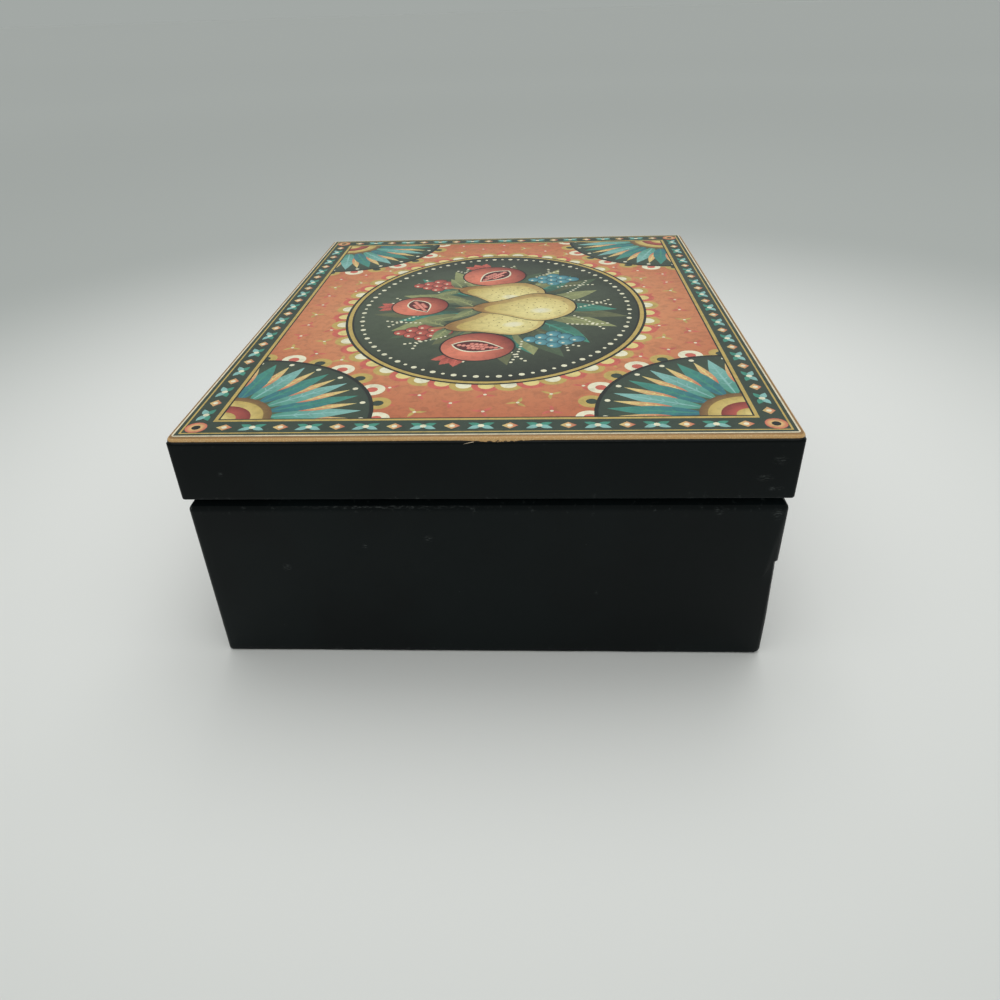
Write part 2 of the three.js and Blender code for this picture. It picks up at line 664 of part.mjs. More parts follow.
// An involute gear with one tooth centred on the angle toothAt
function gear(teeth, module, share, toothAt) {
  const pitch = (module * teeth) / 2;
  const root = pitch - DEDENDUM * module;
  const tip = pitch + ADDENDUM * module;
  const involute = (angle) => Math.tan(angle) - angle;
  const flank = (r) => involute(Math.acos(Math.min(1, (pitch * Math.cos(PRESSURE)) / r)));
  const half = (r) => (share * Math.PI) / teeth + involute(PRESSURE) - flank(r);
  const radii = [root, (root + pitch) / 2, pitch, tip];
  const points = [];
  for (let i = 0; i < teeth; i += 1) {
    const middle = toothAt + (i * 2 * Math.PI) / teeth;
    radii.forEach((r) => points.push([r, middle - half(r)]));
    radii.toReversed().forEach((r) => points.push([r, middle + half(r)]));
  }
  return polygon(points.map(([r, angle]) => [r * Math.cos(angle), r * Math.sin(angle)]));
}

// The crown wheel's ring of upright teeth, with a gap at +X
function crownRing() {
  const step = (2 * Math.PI) / CROWN_TEETH;
  const middle = (TOOTH_SHARE * Math.PI * CROWN_MODULE) / 2;
  const rootHalf = (middle + DEDENDUM * CROWN_MODULE * Math.tan(PRESSURE)) / CROWN_R;
  const tipHalf = (middle - ADDENDUM * CROWN_MODULE * Math.tan(PRESSURE)) / CROWN_R;
  const tipZ = CROWN_PITCH_Z + ADDENDUM * CROWN_MODULE;
  const inner = CROWN_R - CROWN_FACE / 2;
  const rings = [];
  for (let i = 0; i < CROWN_TEETH; i += 1) {
    const tooth = [[-rootHalf, CROWN_ROOT_Z], [-tipHalf, tipZ], [tipHalf, tipZ], [rootHalf, CROWN_ROOT_Z]];
    tooth.forEach(([offset, top]) => {
      const angle = (i + 0.5) * step + offset;
      const section = [[inner, WEB_Z], [CROWN_OUT, WEB_Z], [CROWN_OUT, top], [inner, top]];
      rings.push(section.map(([r, z]) => new THREE.Vector3(r * Math.cos(angle), r * Math.sin(angle), z)));
    });
  }
  return loft(rings, true);
}

function winding(group) {
  const keyTop = -FLOOR_T - FIT - KEY_GAP;
  const keyBottom = keyTop - KEY_HEIGHT;
  const reach = KEY_HALF - KEY_EAR_R;
  const low = KEY_WAIST;
  const high = 2 * KEY_EAR_R - KEY_WAIST;
  const ears = new THREE.Shape();
  ears.moveTo(0, low);
  ears.quadraticCurveTo(reach / 2, low, reach, 0);
  ears.absarc(reach, KEY_EAR_R, KEY_EAR_R, -Math.PI / 2, Math.PI / 2);
  ears.quadraticCurveTo(reach / 2, high, 0, high);
  ears.quadraticCurveTo(-reach / 2, high, -reach, 2 * KEY_EAR_R);
  ears.absarc(-reach, KEY_EAR_R, KEY_EAR_R, Math.PI / 2, 1.5 * Math.PI);
  ears.quadraticCurveTo(-reach / 2, low, 0, low);
  [-reach, reach].forEach((x) => roundHole(ears, x, KEY_EAR_R, KEY_EYE_R));
  const plate = extruded(ears, KEY_PLATE_T).rotateX(Math.PI / 2);
  plate.translate(0, KEY_PLATE_T / 2, keyBottom);
  const arborEnd = keyTop - ARBOR_IN_KEY;
  const hub = rod(KEY_HUB_R, keyBottom + 2 * KEY_WAIST, keyTop, 20);
  const socket = rod(ARBOR_R + FIT, arborEnd - FIT, keyTop + OVERCUT);
  piece(group, "winding_key", shaped([plate, hub], [socket]), BRASS);
  piece(group, "winding_arbor", rod(ARBOR_R, arborEnd, CROWN_ROOT_Z + FIT), STEEL);

  const web = rod(CROWN_R, WEB_Z, CROWN_ROOT_Z, 36);
  const eye = rod(ARBOR_R + FIT, WEB_Z - OVERCUT, CROWN_ROOT_Z + OVERCUT);
  piece(group, "drive_wheel", shaped([crownRing(), web], [eye]), NYLON);
}

// The mainspring: a flat strip wound in an even spiral between the arbor and the barrel wall
function mainspring() {
  const first = ARBOR_R + SPRING_CLEAR + SPRING_T / 2;
  const last = BARREL_R - BARREL_WALL - SPRING_CLEAR - SPRING_T / 2;
  const steps = 16 * SPRING_TURNS;
  const spiral = (offset) => Array.from({ length: steps + 1 }, (_, i) => {
    const r = first + ((last - first) * i) / steps + offset;
    const angle = (i * 2 * Math.PI) / 16;
    return new THREE.Vector2(r * Math.cos(angle), r * Math.sin(angle));
  });
  console.log(`mainspring: least gap ${leastGap(spiral(0), 8, SPRING_T).toFixed(2)} mm`);
  const outline = new THREE.Shape([...spiral(-SPRING_T / 2), ...spiral(SPRING_T / 2).reverse()]);
  return extruded(outline, BARREL_H - BARREL_WALL - 2 * SPRING_CLEAR);
}

function springBarrel(group) {
  const bore = ARBOR_R + BEARING_FIT;
  const inside = BARREL_R - BARREL_WALL;
  const can = [
    [bore, 0],
    [BARREL_R, 0],
    [BARREL_R, BARREL_H],
    [inside, BARREL_H],
    [inside, BARREL_WALL],
    [bore, BARREL_WALL],
  ];
  piece(group, "spring_barrel", turned(can, 36), ZINC, [0, 0, BARREL_Z]);
  piece(group, "mainspring", mainspring(), STEEL, [0, 0, BARREL_Z + BARREL_WALL + SPRING_CLEAR]);
}

// An upright that carries the cylinder, and the idler too where it has a second bearing
function post(second) {
  const foot = PLATE_T / 2;
  const outline = new THREE.Shape();
  outline.moveTo(-POST_R, foot);
  outline.lineTo(-POST_R, DRUM_Z);
  if (second) {
    const slope = Math.atan2(IDLER_Z - DRUM_Z, IDLER_Y);
    const tangent = slope + Math.acos((POST_R - BEARING_R) / (GREAT_R + IDLER_R));
    outline.absarc(0, DRUM_Z, POST_R, Math.PI, tangent, true);
    outline.absarc(IDLER_Y, IDLER_Z, BEARING_R, tangent, 0, true);
    outline.lineTo(IDLER_Y + BEARING_R, foot);
    roundHole(outline, IDLER_Y, IDLER_Z, IDLER_ARBOR_R + BEARING_FIT);
  } else {
    outline.absarc(0, DRUM_Z, POST_R, Math.PI, 0, true);
    outline.lineTo(POST_R, foot);
  }
  roundHole(outline, 0, DRUM_Z, CYLINDER_ARBOR_R + BEARING_FIT);
  return alongX(extruded(outline, POST_T));
}

// Places of the two screws that clamp the comb
function combScrews() {
  const y = COMB_BACK_Y + COMB_CLAMP / 2;
  return [COMB_X + COMB_SCREW_IN, COMB_X + COMB_WIDTH - COMB_SCREW_IN].map((x) => [x, y]);
}

function bedplate(group) {
  const outline = roundedRectangle(PLATE_LEFT, PLATE_RIGHT, PLATE_FRONT, PLATE_BACK, PLATE_CORNER);
  roundHole(outline, 0, 0, ARBOR_R + BEARING_FIT);
  plateScrews().forEach(([x, y]) => roundHole(outline, x, y, SCREW_R + FIT));
  const combBlock = block(
    COMB_X,
    COMB_X + COMB_WIDTH,
    COMB_BACK_Y,
    COMB_BACK_Y + COMB_CLAMP,
    PLATE_T / 2,
    COMB_Z - FIT,
  );
  const cast = [
    extruded(outline, PLATE_T),
    post(false).translate(LEFT_POST_X, 0, 0),
    post(true).translate(RIGHT_POST_X, 0, 0),
    combBlock,
  ];
  const threads = combScrews().map(([x, y]) =>
    rod(SCREW_R + FIT, COMB_Z - COMB_SCREW_LENGTH - OVERCUT, COMB_Z + OVERCUT).translate(x, y, 0),
  );
  piece(group, "bedplate", shaped(cast, threads), ZINC);
}

// The middle of a comb tooth along the cylinder
function toothX(i) {
  return COMB_X + (i + 0.5) * COMB_PITCH;
}

function comb(group) {
  const half = (COMB_PITCH - COMB_SLOT) / 2;
  const left = toothX(0) - half;
  const right = toothX(COMB_TEETH - 1) + half;
  const points = [[left, COMB_BACK_Y], [right, COMB_BACK_Y]];
  for (let i = COMB_TEETH - 1; i >= 0; i -= 1) {
    const x = toothX(i);
    const length = COMB_LONG - ((COMB_LONG - COMB_SHORT) * i) / (COMB_TEETH - 1);
    const root = COMB_TIP_Y - length;
    points.push([x + half, root], [x + half, COMB_TIP_Y], [x - half, COMB_TIP_Y], [x - half, root]);
  }
  const outline = polygon(points);
  combScrews().forEach(([x, y]) => roundHole(outline, x, y, SCREW_R + FIT));
  piece(group, "comb", extruded(outline, COMB_T), STEEL, [0, 0, COMB_Z]);

  const head = COMB_T + FIT;
  const top = head + SCREW_HEAD_T;
  const profile = [
    [0, -COMB_SCREW_LENGTH],
    [SCREW_R, -COMB_SCREW_LENGTH],
    [SCREW_R, head],
    [SCREW_HEAD_R, head],
    [SCREW_HEAD_R, top],
    [0, top],
  ];
  const slot = block(-SCREW_HEAD_R, SCREW_HEAD_R, -SLOT_HALF, SLOT_HALF, top - SCREW_SLOT, top + OVERCUT);
  combScrews().forEach(([x, y], i) => {
    piece(group, `comb_screw_${i + 1}`, shaped([turned(profile, 16)], [slot]), STEEL, [x, y, COMB_Z]);
  });
}

function plateScrewPieces(group) {
  const length = FLOOR_T + PLATE_T;
  const slot = block(-SCREW_HEAD_R, SCREW_HEAD_R, -SLOT_HALF, SLOT_HALF, -OVERCUT, SCREW_SLOT);
  plateScrews().forEach(([x, y], i) => {
    const screw = shaped([countersunk(0, length)], [slot]);
    piece(group, `movement_screw_${i + 1}`, screw, STEEL, [x, y, -FLOOR_T - FIT]);
  });
}

// The cylinder turns with its arbor, pinion and great wheel about X at height DRUM_Z
function cylinder(group) {
  const drum = rod(DRUM_R, 0, DRUM_LENGTH, 40);
  const pins = [];
  for (let i = 0; i < COMB_TEETH; i += 1) {
    for (let note = 0; note < NOTES_A_TOOTH; note += 1) {
      const beat = (i * 7 + note * (11 + (i % 5))) % 36;
      const half = DRUM_PIN_SIZE / 2;
      const along = toothX(i) - DRUM_X;
      const foot = DRUM_R - DRUM_PIN_SUNK;
      const pin = block(-half, half, foot, DRUM_R + DRUM_PIN_HEIGHT, along - half, along + half);
      pins.push(pin.rotateZ((beat * Math.PI) / 18));
    }
  }
  const bore = rod(CYLINDER_ARBOR_R + FIT, -OVERCUT, DRUM_LENGTH + OVERCUT);
  const pinned = alongX(shaped([drum, ...pins], [bore]));
  piece(group, "music_cylinder", pinned, BRASS, [DRUM_X, 0, DRUM_Z]);

  const start = CROWN_R - PINION_FACE / 2;
  const pinion = extruded(gear(PINION_TEETH, CROWN_MODULE, TOOTH_SHARE, -Math.PI / 2), PINION_FACE);
  const arbor = rod(CYLINDER_ARBOR_R, -RUN_GAP, GREAT_X + GEAR_FACE + FIT - start);
  piece(group, "cylinder_arbor", alongX(shaped([pinion, arbor])), STEEL, [start, 0, DRUM_Z]);

  const gapAt = IDLER_TURN + Math.PI / GREAT_TEETH;
  const wheel = gear(GREAT_TEETH, TRAIN_MODULE, TOOTH_SHARE, gapAt);
  roundHole(wheel, 0, 0, CYLINDER_ARBOR_R + FIT);
  piece(group, "great_wheel", alongX(extruded(wheel, GEAR_FACE, 16)), BRASS, [GREAT_X, 0, DRUM_Z]);
}

// Slants the teeth of the worm wheel to the worm's thread
function slanted(geometry, thickness, slope) {
  const points = geometry.getAttribute("position");
  for (let i = 0; i < points.count; i += 1) {
    const turn = (points.getZ(i) - thickness / 2) * slope;
    const [x, y] = [points.getX(i), points.getY(i)];
    points.setX(i, x * Math.cos(turn) - y * Math.sin(turn));
    points.setY(i, x * Math.sin(turn) + y * Math.cos(turn));
  }
  return geometry;
}

function idler(group) {
  const start = RIGHT_POST_X + FIT;
  const end = BRACKET_X + BRACKET_T - FIT;
  const toothAt = IDLER_TURN + Math.PI;
  const pinion = extruded(gear(IDLER_TEETH, TRAIN_MODULE, TOOTH_SHARE, toothAt), GEAR_FACE);
  const arbor = rod(IDLER_ARBOR_R, start - GREAT_X, end - GREAT_X);
  const place = [GREAT_X, IDLER_Y, IDLER_Z];
  piece(group, "idler_arbor", alongX(shaped([pinion, arbor])), STEEL, place);

  const gapAt = Math.PI / WORM_WHEEL_TEETH;
  const outline = gear(WORM_WHEEL_TEETH, WORM_MODULE, WORM_WHEEL_SHARE, gapAt);
  roundHole(outline, 0, 0, IDLER_ARBOR_R + FIT);
  const slope = WORM_LEAD / (2 * Math.PI * WORM_R) / WORM_WHEEL_R;
  const wheel = slanted(extruded(outline, WORM_WHEEL_FACE, 12), WORM_WHEEL_FACE, slope);
  piece(group, "worm_wheel", alongX(wheel), NYLON, [WORM_WHEEL_X, IDLER_Y, IDLER_Z]);
}

// A right-handed thread as rings of points, with a crest towards -Y at mid height
function wormThread() {
  const around = 12;
  const middle = (WORM_SHARE * WORM_LEAD) / 2;
  const crest = middle - (WORM_TIP - WORM_R) * Math.tan(PRESSURE);
  const foot = middle + (WORM_R - WORM_ROOT) * Math.tan(PRESSURE);
  const rings = [];
  for (let i = 0; i <= around * WORM_TURNS; i += 1) {
    const turns = i / around - WORM_TURNS / 2;
    const ring = [];
    for (let k = 0; k < around; k += 1) {
      const phase = turns - k / around - 0.25;
      const away = Math.abs(phase - Math.round(phase)) * WORM_LEAD;
      const share = THREE.MathUtils.clamp((foot - away) / (foot - crest), 0, 1);
      const r = WORM_ROOT + (WORM_TIP - WORM_ROOT) * share;
      const angle = (k * 2 * Math.PI) / around;
      ring.push(new THREE.Vector3(r * Math.cos(angle), r * Math.sin(angle), turns * WORM_LEAD));
    }
    rings.push(ring);
  }
  return loft(rings);
}

// The governor's worm and fan turn about an upright axis in the bracket
function governor(group) {
  const place = [WORM_X, WORM_Y, IDLER_Z];
  const arbor = rod(WORM_ARBOR_R, FOOT_Z + FIT - IDLER_Z, FAN_Z + FAN_HEIGHT - IDLER_Z);
  piece(group, "governor_worm", shaped([wormThread(), arbor]), STEEL, place);

  const wings = block(-FAN_R, FAN_R, -FAN_T / 2, FAN_T / 2, 0, FAN_HEIGHT);
  const hub = rod(FAN_HUB_R, 0, FAN_HEIGHT);
  const rim = rod(FAN_R, -OVERCUT, FAN_HEIGHT + OVERCUT, 32);
  const bore = rod(WORM_ARBOR_R + FIT, -OVERCUT, FAN_HEIGHT + OVERCUT);
  const blades = surface(solid(wings).intersect(solid(rim)));
  piece(group, "governor_fan", shaped([blades, hub], [bore]), NYLON, [WORM_X, WORM_Y, FAN_Z]);
}

// A folded bracket: a foot and an arm hold the worm, and its upright holds the idler's end
function governorBracket(group) {
  const left = WORM_X - BRACKET_WIDTH / 2;
  const right = BRACKET_X + BRACKET_T;
  const top = ARM_Z + BRACKET_T;
  const channel = polygon([
    [left, FOOT_Z],
    [right, FOOT_Z],
    [right, top],
    [left, top],
    [left, ARM_Z],
    [BRACKET_X, ARM_Z],
    [BRACKET_X, FOOT_Z + BRACKET_T],
    [left, FOOT_Z + BRACKET_T],
  ]);
  const folded = extruded(channel, BRACKET_WIDTH).rotateX(Math.PI / 2);
  folded.translate(0, WORM_Y + BRACKET_WIDTH / 2, 0);
  const ear = new THREE.Shape();
  ear.moveTo(WORM_Y, IDLER_Z - BEARING_R);
  ear.lineTo(WORM_Y, IDLER_Z + BEARING_R);
  ear.lineTo(IDLER_Y, IDLER_Z + BEARING_R);
  ear.absarc(IDLER_Y, IDLER_Z, BEARING_R, Math.PI / 2, 1.5 * Math.PI);
  const tab = alongX(extruded(ear, BRACKET_T)).translate(BRACKET_X, 0, 0);
  const idlerHole = alongX(rod(IDLER_ARBOR_R + BEARING_FIT, BRACKET_X - OVERCUT, right + OVERCUT));
  const wormHole = rod(WORM_ARBOR_R + BEARING_FIT, FOOT_Z - OVERCUT, top + OVERCUT);
  const holes = [idlerHole.translate(0, IDLER_Y, IDLER_Z), wormHole.translate(WORM_X, WORM_Y, 0)];
  piece(group, "governor_bracket", shaped([folded, tab], holes), STEEL);
}

class Helix extends THREE.Curve {
  constructor(radius, height, turns) {
    super();
    Object.assign(this, { radius, height, turns });
  }

  getPoint(share, target = new THREE.Vector3()) {
    const angle = share * this.turns * 2 * Math.PI;
    return target.set(this.radius * Math.cos(angle), this.radius * Math.sin(angle), share * this.height);
  }
}

// The closed lid presses the plunger down until its foot meets the fan
function lidStop(group) {
  const place = [WORM_X, PLUNGER_Y, 0];
  const foot = FAN_Z + FAN_HEIGHT + PLUNGER_CLEAR;
  const collar = GUIDE_BOTTOM - PLUNGER_TRAVEL - PLUNGER_CLEAR;
  const cap = PLUNGER_TOP - PLUNGER_CAP_T;
  const crown = PLUNGER_CAP_R / 2;
  const profile = [
    [0, foot],
    [PLUNGER_R, foot],
    [PLUNGER_R, collar - PLUNGER_COLLAR_T],
    [PLUNGER_COLLAR_R, collar - PLUNGER_COLLAR_T],
    [PLUNGER_COLLAR_R, collar],
    [PLUNGER_R, collar],
    [PLUNGER_R, cap],
    [PLUNGER_CAP_R, cap],
    [PLUNGER_CAP_R, PLUNGER_TOP - crown],
    [crown, PLUNGER_TOP],
    [0, PLUNGER_TOP],
  ];
  piece(group, "stop_plunger", turned(profile, 16), NYLON, place);

  const bore = PLUNGER_R + BEARING_FIT;
  const flange = GUIDE_TOP - GUIDE_FLANGE_T;
  const bush = [
    [bore, GUIDE_BOTTOM],
    [GUIDE_R, GUIDE_BOTTOM],
    [GUIDE_R, flange],
    [GUIDE_FLANGE_R, flange],
    [GUIDE_FLANGE_R, GUIDE_TOP],
    [bore, GUIDE_TOP],
  ];
  piece(group, "plunger_guide", turned(bush, 20), BRASS, place);

  const clear = STOP_SPRING_WIRE_R + PLUNGER_CLEAR;
  const path = new Helix(STOP_SPRING_R, cap - GUIDE_TOP - 2 * clear, STOP_SPRING_CURLS);
  const steps = 8 * STOP_SPRING_CURLS;
  const gap = leastGap(path.getPoints(steps), 5, 2 * STOP_SPRING_WIRE_R);
  console.log(`stop_spring: least gap ${gap.toFixed(2)} mm`);
  const wire = polygon([0, 1, 2, 3, 4].map((i) => {
    const angle = (i * 2 * Math.PI) / 5;
    return [STOP_SPRING_WIRE_R * Math.cos(angle), STOP_SPRING_WIRE_R * Math.sin(angle)];
  }));
  const options = { steps, bevelEnabled: false, extrudePath: path };
  const coil = new THREE.ExtrudeGeometry(wire, options);
  piece(group, "stop_spring", coil, STEEL, [WORM_X, PLUNGER_Y, GUIDE_TOP + clear]);
}

// The box stands centred under its whole depth, hinges included
const box = new THREE.Group();
const base = new THREE.Group();
const lid = new THREE.Group();
const movement = new THREE.Group();
box.add(base, lid, movement);
box.position.y = -HINGE_PROUD / 2;
movement.position.set(MOVEMENT_X, MOVEMENT_Y, MOVEMENT_Z);

baseWalls(base);
baseFloor(base);
linings(base);
partitions(base);
ringRolls(base);
movementCover(base);
hinges(base, lid);
lidCase(lid);
lidInside(lid);
bedplate(movement);
springBarrel(movement);
winding(movement);
cylinder(movement);
comb(movement);
idler(movement);
governorBracket(movement);
governor(movement);
plateScrewPieces(movement);
lidStop(movement);

export default box;
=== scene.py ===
# Looks of the musical jewellery box: lacquer, gilt edge, lid print, velvet, mirror and movement.
from math import asin, atan2, cos, exp, hypot, pi, radians, sin, sqrt

import bmesh
import bpy
import numpy as np
from mathutils import Matrix, Vector, noise
from mathutils.geometry import delaunay_2d_cdt


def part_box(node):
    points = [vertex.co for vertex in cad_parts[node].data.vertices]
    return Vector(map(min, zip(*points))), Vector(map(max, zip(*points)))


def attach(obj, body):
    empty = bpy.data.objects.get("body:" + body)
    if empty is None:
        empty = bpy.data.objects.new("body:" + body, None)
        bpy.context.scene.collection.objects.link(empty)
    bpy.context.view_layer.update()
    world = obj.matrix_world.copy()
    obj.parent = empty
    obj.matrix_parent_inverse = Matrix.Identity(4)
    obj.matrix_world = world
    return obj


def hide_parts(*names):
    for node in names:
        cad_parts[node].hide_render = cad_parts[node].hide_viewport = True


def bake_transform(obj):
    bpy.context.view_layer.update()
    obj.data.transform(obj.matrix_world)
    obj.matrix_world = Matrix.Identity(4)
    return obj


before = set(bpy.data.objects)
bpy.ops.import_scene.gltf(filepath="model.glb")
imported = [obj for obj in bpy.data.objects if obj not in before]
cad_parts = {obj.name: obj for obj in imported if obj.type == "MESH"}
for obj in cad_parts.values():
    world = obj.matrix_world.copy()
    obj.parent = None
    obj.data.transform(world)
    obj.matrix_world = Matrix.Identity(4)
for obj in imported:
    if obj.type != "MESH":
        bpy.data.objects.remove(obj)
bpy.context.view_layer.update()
scene = bpy.context.scene
MM = 0.001
SIDES = ("front", "right", "back", "left")
CORNERS = ((-1, -1), (1, -1), (1, 1), (-1, 1))

# Camera, from the photograph's perspective: pixels, millimetres of sensor, metres and degrees
PHOTO_SIZE, FOCAL_PIXELS, SENSOR = 1000, 766, 36
CAMERA_PLACE = (-0.2417, -0.01475, 0.1477)
CAMERA_YAW, CAMERA_PITCH, CAMERA_ROLL = -3.26, 32.68, -1.92

# Light and table: the room's level at the horizon and overhead, and the rest in watts and metres
ROOM_LOW, ROOM_HIGH = 0.5, 1.1
LAMP_POWER, LAMP_SIZE, LAMP_PLACE, LAMP_AIM = 3.0, 0.7, (0.38, -0.08, 1.0), (0, 0, 0.03)
# The table's painted pool of light: round FLOOR_MIDDLE, dimming over FLOOR_DIMS, then fading to the far
# colour over FLOOR_FADES
FLOOR_REACH, FLOOR_MIDDLE = 60.0, (0.015, 0.0, 0.0)
FLOOR_DIMS, FLOOR_FADES = (0.06, 0.42), (0.5, 1.8)

# Case, in millimetres
WALL, RABBET = 8, 3
BASE_CORNER, LID_CORNER, LINING_CORNER, PANEL_CORNER, PRINT_CORNER = 1.3, 0.9, 0.3, 2, 0.8
BASE_EASE, LID_EASE, PANEL_ROUND = 0.8, 0.5, 1
CHAMFER_RUN, CHAMFER_RISE = 2, 2.4
# Share of the chamfer's rise, from its top, that gets the low-shine lacquer: painted shade in the gap under
# the lid
GAP_SHADE_SHARE = 0.6
STATION = 2.5
POCKET_ROOM = 0.1

# Lacquer: its shine, a low shine that paints shade into the gap where lid and base meet, and nicks in the end
# wall as y, z, reach and how many times longer they are along y
SATIN, GAP_SHADE_SHINE = 0.155, 0.04
BASE_NICKS = [(49, 29, 1.6), (28, 35.5, 1.2), (12, 38, 1.4), (-58, 46, 1.6), (-72, 45, 2.2), (40, 0.5, 1.5),
              (-48, 0.5, 1.5), (-30, 21, 0.8)]
LID_NICKS = [(-70, 60, 1.6, 1.5), (-67, 55.5, 1.3, 2), (-70, 52.5, 0.9, 3), (60, 57, 1.0)]

# Lid print, in millimetres
BORDER = 8.4
PRINT_GRID = 2.6

# Padding, filled by a cloth simulation at a larger scale
SIM_SCALE, SIM_FRAMES = 10, 20
PRESSURE, STRETCH, BENDING, SWELL_CAP = 4.0, 12, 0.6, 1.2
ROLL_VOXEL, PAD_SLACK = 1.1, 0.03

# Hinge screws, in millimetres: the profile is growth and rise from the leaf
SCREW_RADIUS, SCREW_SLOT = 1.3, 0.34
SCREW_PROFILE = [(1.0, -0.05), (1.0, 0.04), (0.9, 0.072), (0.55, 0.08)]
# The seat is a dark disc under the head, seen in the slot and round its edge: painted shade, and grime
SEAT_PROFILE = [(1.13, -0.05), (1.13, 0.012)]

# Palette, sRGB
LACQUER_DARK, LACQUER_LIGHT, SCUFF = (1, 7, 8), (4, 13, 14), (97, 101, 100)
GILT, GILT_DARK, GILT_PALE, GILT_SHADOW = (208, 166, 110), (126, 90, 50), (238, 214, 168), (30, 18, 8)
PAPER, CREAM = (226, 214, 184), (230, 226, 196)
RUST, PEACH, CORAL, CRIMSON = (176, 88, 54), (226, 158, 108), (202, 98, 82), (128, 44, 40)
FOREST, INK, OLIVE, MOSS, GLADE = (48, 64, 52), (20, 26, 23), (104, 108, 72), (78, 98, 70), (86, 100, 76)
OCHRE, STRAW, UMBER = (190, 164, 88), (222, 204, 130), (112, 78, 44)
TEAL, BLUE, MIST, SKY = (62, 142, 122), (40, 108, 126), (132, 184, 178), (96, 160, 168)
SAGE, STEM, PEAR_LIGHT, PEAR_DARK = (150, 156, 104), (164, 122, 74), (232, 220, 150), (150, 108, 54)
PINK, PIP_LIGHT, PIP_DARK = (226, 128, 100), (240, 168, 150), (92, 26, 28)
# Velvet: a darker and a lighter tone, mixed by the fine pile and, in patches, as painted sheen; and the
# sheen's tint
VELVET_DARK, VELVET_LIGHT, VELVET_SHEEN = (64, 9, 17), (118, 24, 35), (214, 96, 104)
ROOM_TINT, BACKDROP = (244, 246, 245), (163, 168, 165)
# Table: the lit colour of the painted pool of light by the box, its dim edge, and the far table
FLOOR_LIT_POOL, FLOOR_DIM, FLOOR_FAR = (231, 232, 229), (166, 170, 167), (180, 184, 181)

# Linear colours by which dabs of paint darken the print and light flicks brighten it
DAB_DARK, DAB_LIGHT = (0.62, 0.64, 0.62, 1), (0.2, 0.19, 0.15, 1)


def linear(colour):
    """An sRGB colour from 0 to 255 as linear RGBA."""
    parts = [c / 255 for c in colour]
    return tuple(c / 12.92 if c <= 0.04045 else ((c + 0.055) / 1.055) ** 2.4 for c in parts) + (1.0,)


class Tree:
    """Adds nodes to a node tree."""

    def __init__(self, tree, prefix="ShaderNode"):
        self.tree, self.prefix = tree, prefix

    def add(self, kind, inputs=None, out=0, **settings):
        """Adds a node, feeds its inputs and gives one of its outputs, if it has any."""
        node = self.tree.nodes.new(self.prefix + kind)
        for key, value in settings.items():
            setattr(node, key, value)
        for key, value in (inputs or {}).items():
            self.feed(node.inputs[key], value)
        return node.outputs[out] if len(node.outputs) else None

    def feed(self, socket, value):
        """Links an output to an input, or sets a value on it: a colour of three numbers is sRGB."""
        if isinstance(value, bpy.types.NodeSocket):
            self.tree.links.new(value, socket)
        else:
            is_srgb = socket.type == "RGBA" and len(value) == 3
            socket.default_value = linear(value) if is_srgb else value


class Shader(Tree):
    """A material with one Principled shader, and the nodes that feed it."""

    def __init__(self, name, **sockets):
        self.material = bpy.data.materials.new(name)
        self.material.use_nodes = True
        super().__init__(self.material.node_tree)
        self.bsdf = self.tree.nodes["Principled BSDF"]
        self.place = self.add("TexCoord", out="Object")
        self.set(**sockets)

    def set(self, **sockets):
        for socket, value in sockets.items():
            self.feed(self.bsdf.inputs[socket.replace("_", " ")], value)

    def stretched(self, stretch):
        return self.add("Mapping", {"Vector": self.place, "Scale": stretch})

    def noise(self, size, detail=3.0, rough=0.55, stretch=None, distortion=0.0):
        """Noise with features of that size in millimetres."""
        where = self.stretched(stretch) if stretch else self.place
        return self.add("TexNoise", {"Vector": where, "Scale": 1 / (size * MM), "Detail": detail,
                                     "Roughness": rough, "Distortion": distortion})

    def span(self, value, low, high, start=0.0, end=1.0):
        """The value's way from low to high, smoothly, as a number from start to end."""
        inputs = {"Value": value, "From Min": low, "From Max": high, "To Min": start, "To Max": end}
        return self.add("MapRange", inputs, interpolation_type="SMOOTHSTEP")

    def times(self, a, b):
        return self.add("Math", {0: a, 1: b}, operation="MULTIPLY")

    def plus(self, a, b):
        return self.add("Math", {0: a, 1: b}, operation="ADD")

    def most(self, a, b):
        return self.add("Math", {0: a, 1: b}, operation="MAXIMUM")

    def mix(self, share, a, b, blend="MIX"):
        return self.add("Mix", {0: share, 6: a, 7: b}, 2, data_type="RGBA", blend_type=blend)

    def distance(self, where, point):
        return self.add("VectorMath", {0: where, 1: point}, "Value", operation="DISTANCE")

    def near(self, x, y, z, reach, long=1):
        """1 at a point in millimetres, falling to 0 at its reach, which is so many times longer along y."""
        away = self.distance(self.stretched((1, 1 / long, 1)), (x * MM, y / long * MM, z * MM))
        return self.span(away, 0.0, reach * MM, 1.0, 0.0)

    def bump(self, height, depth, strength=1.0, under=None):
        """A normal from a height of that depth in millimetres."""
        inputs = {"Height": height, "Distance": depth * MM, "Strength": strength}
        if under:
            inputs["Normal"] = under
        return self.add("Bump", inputs)


# Materials

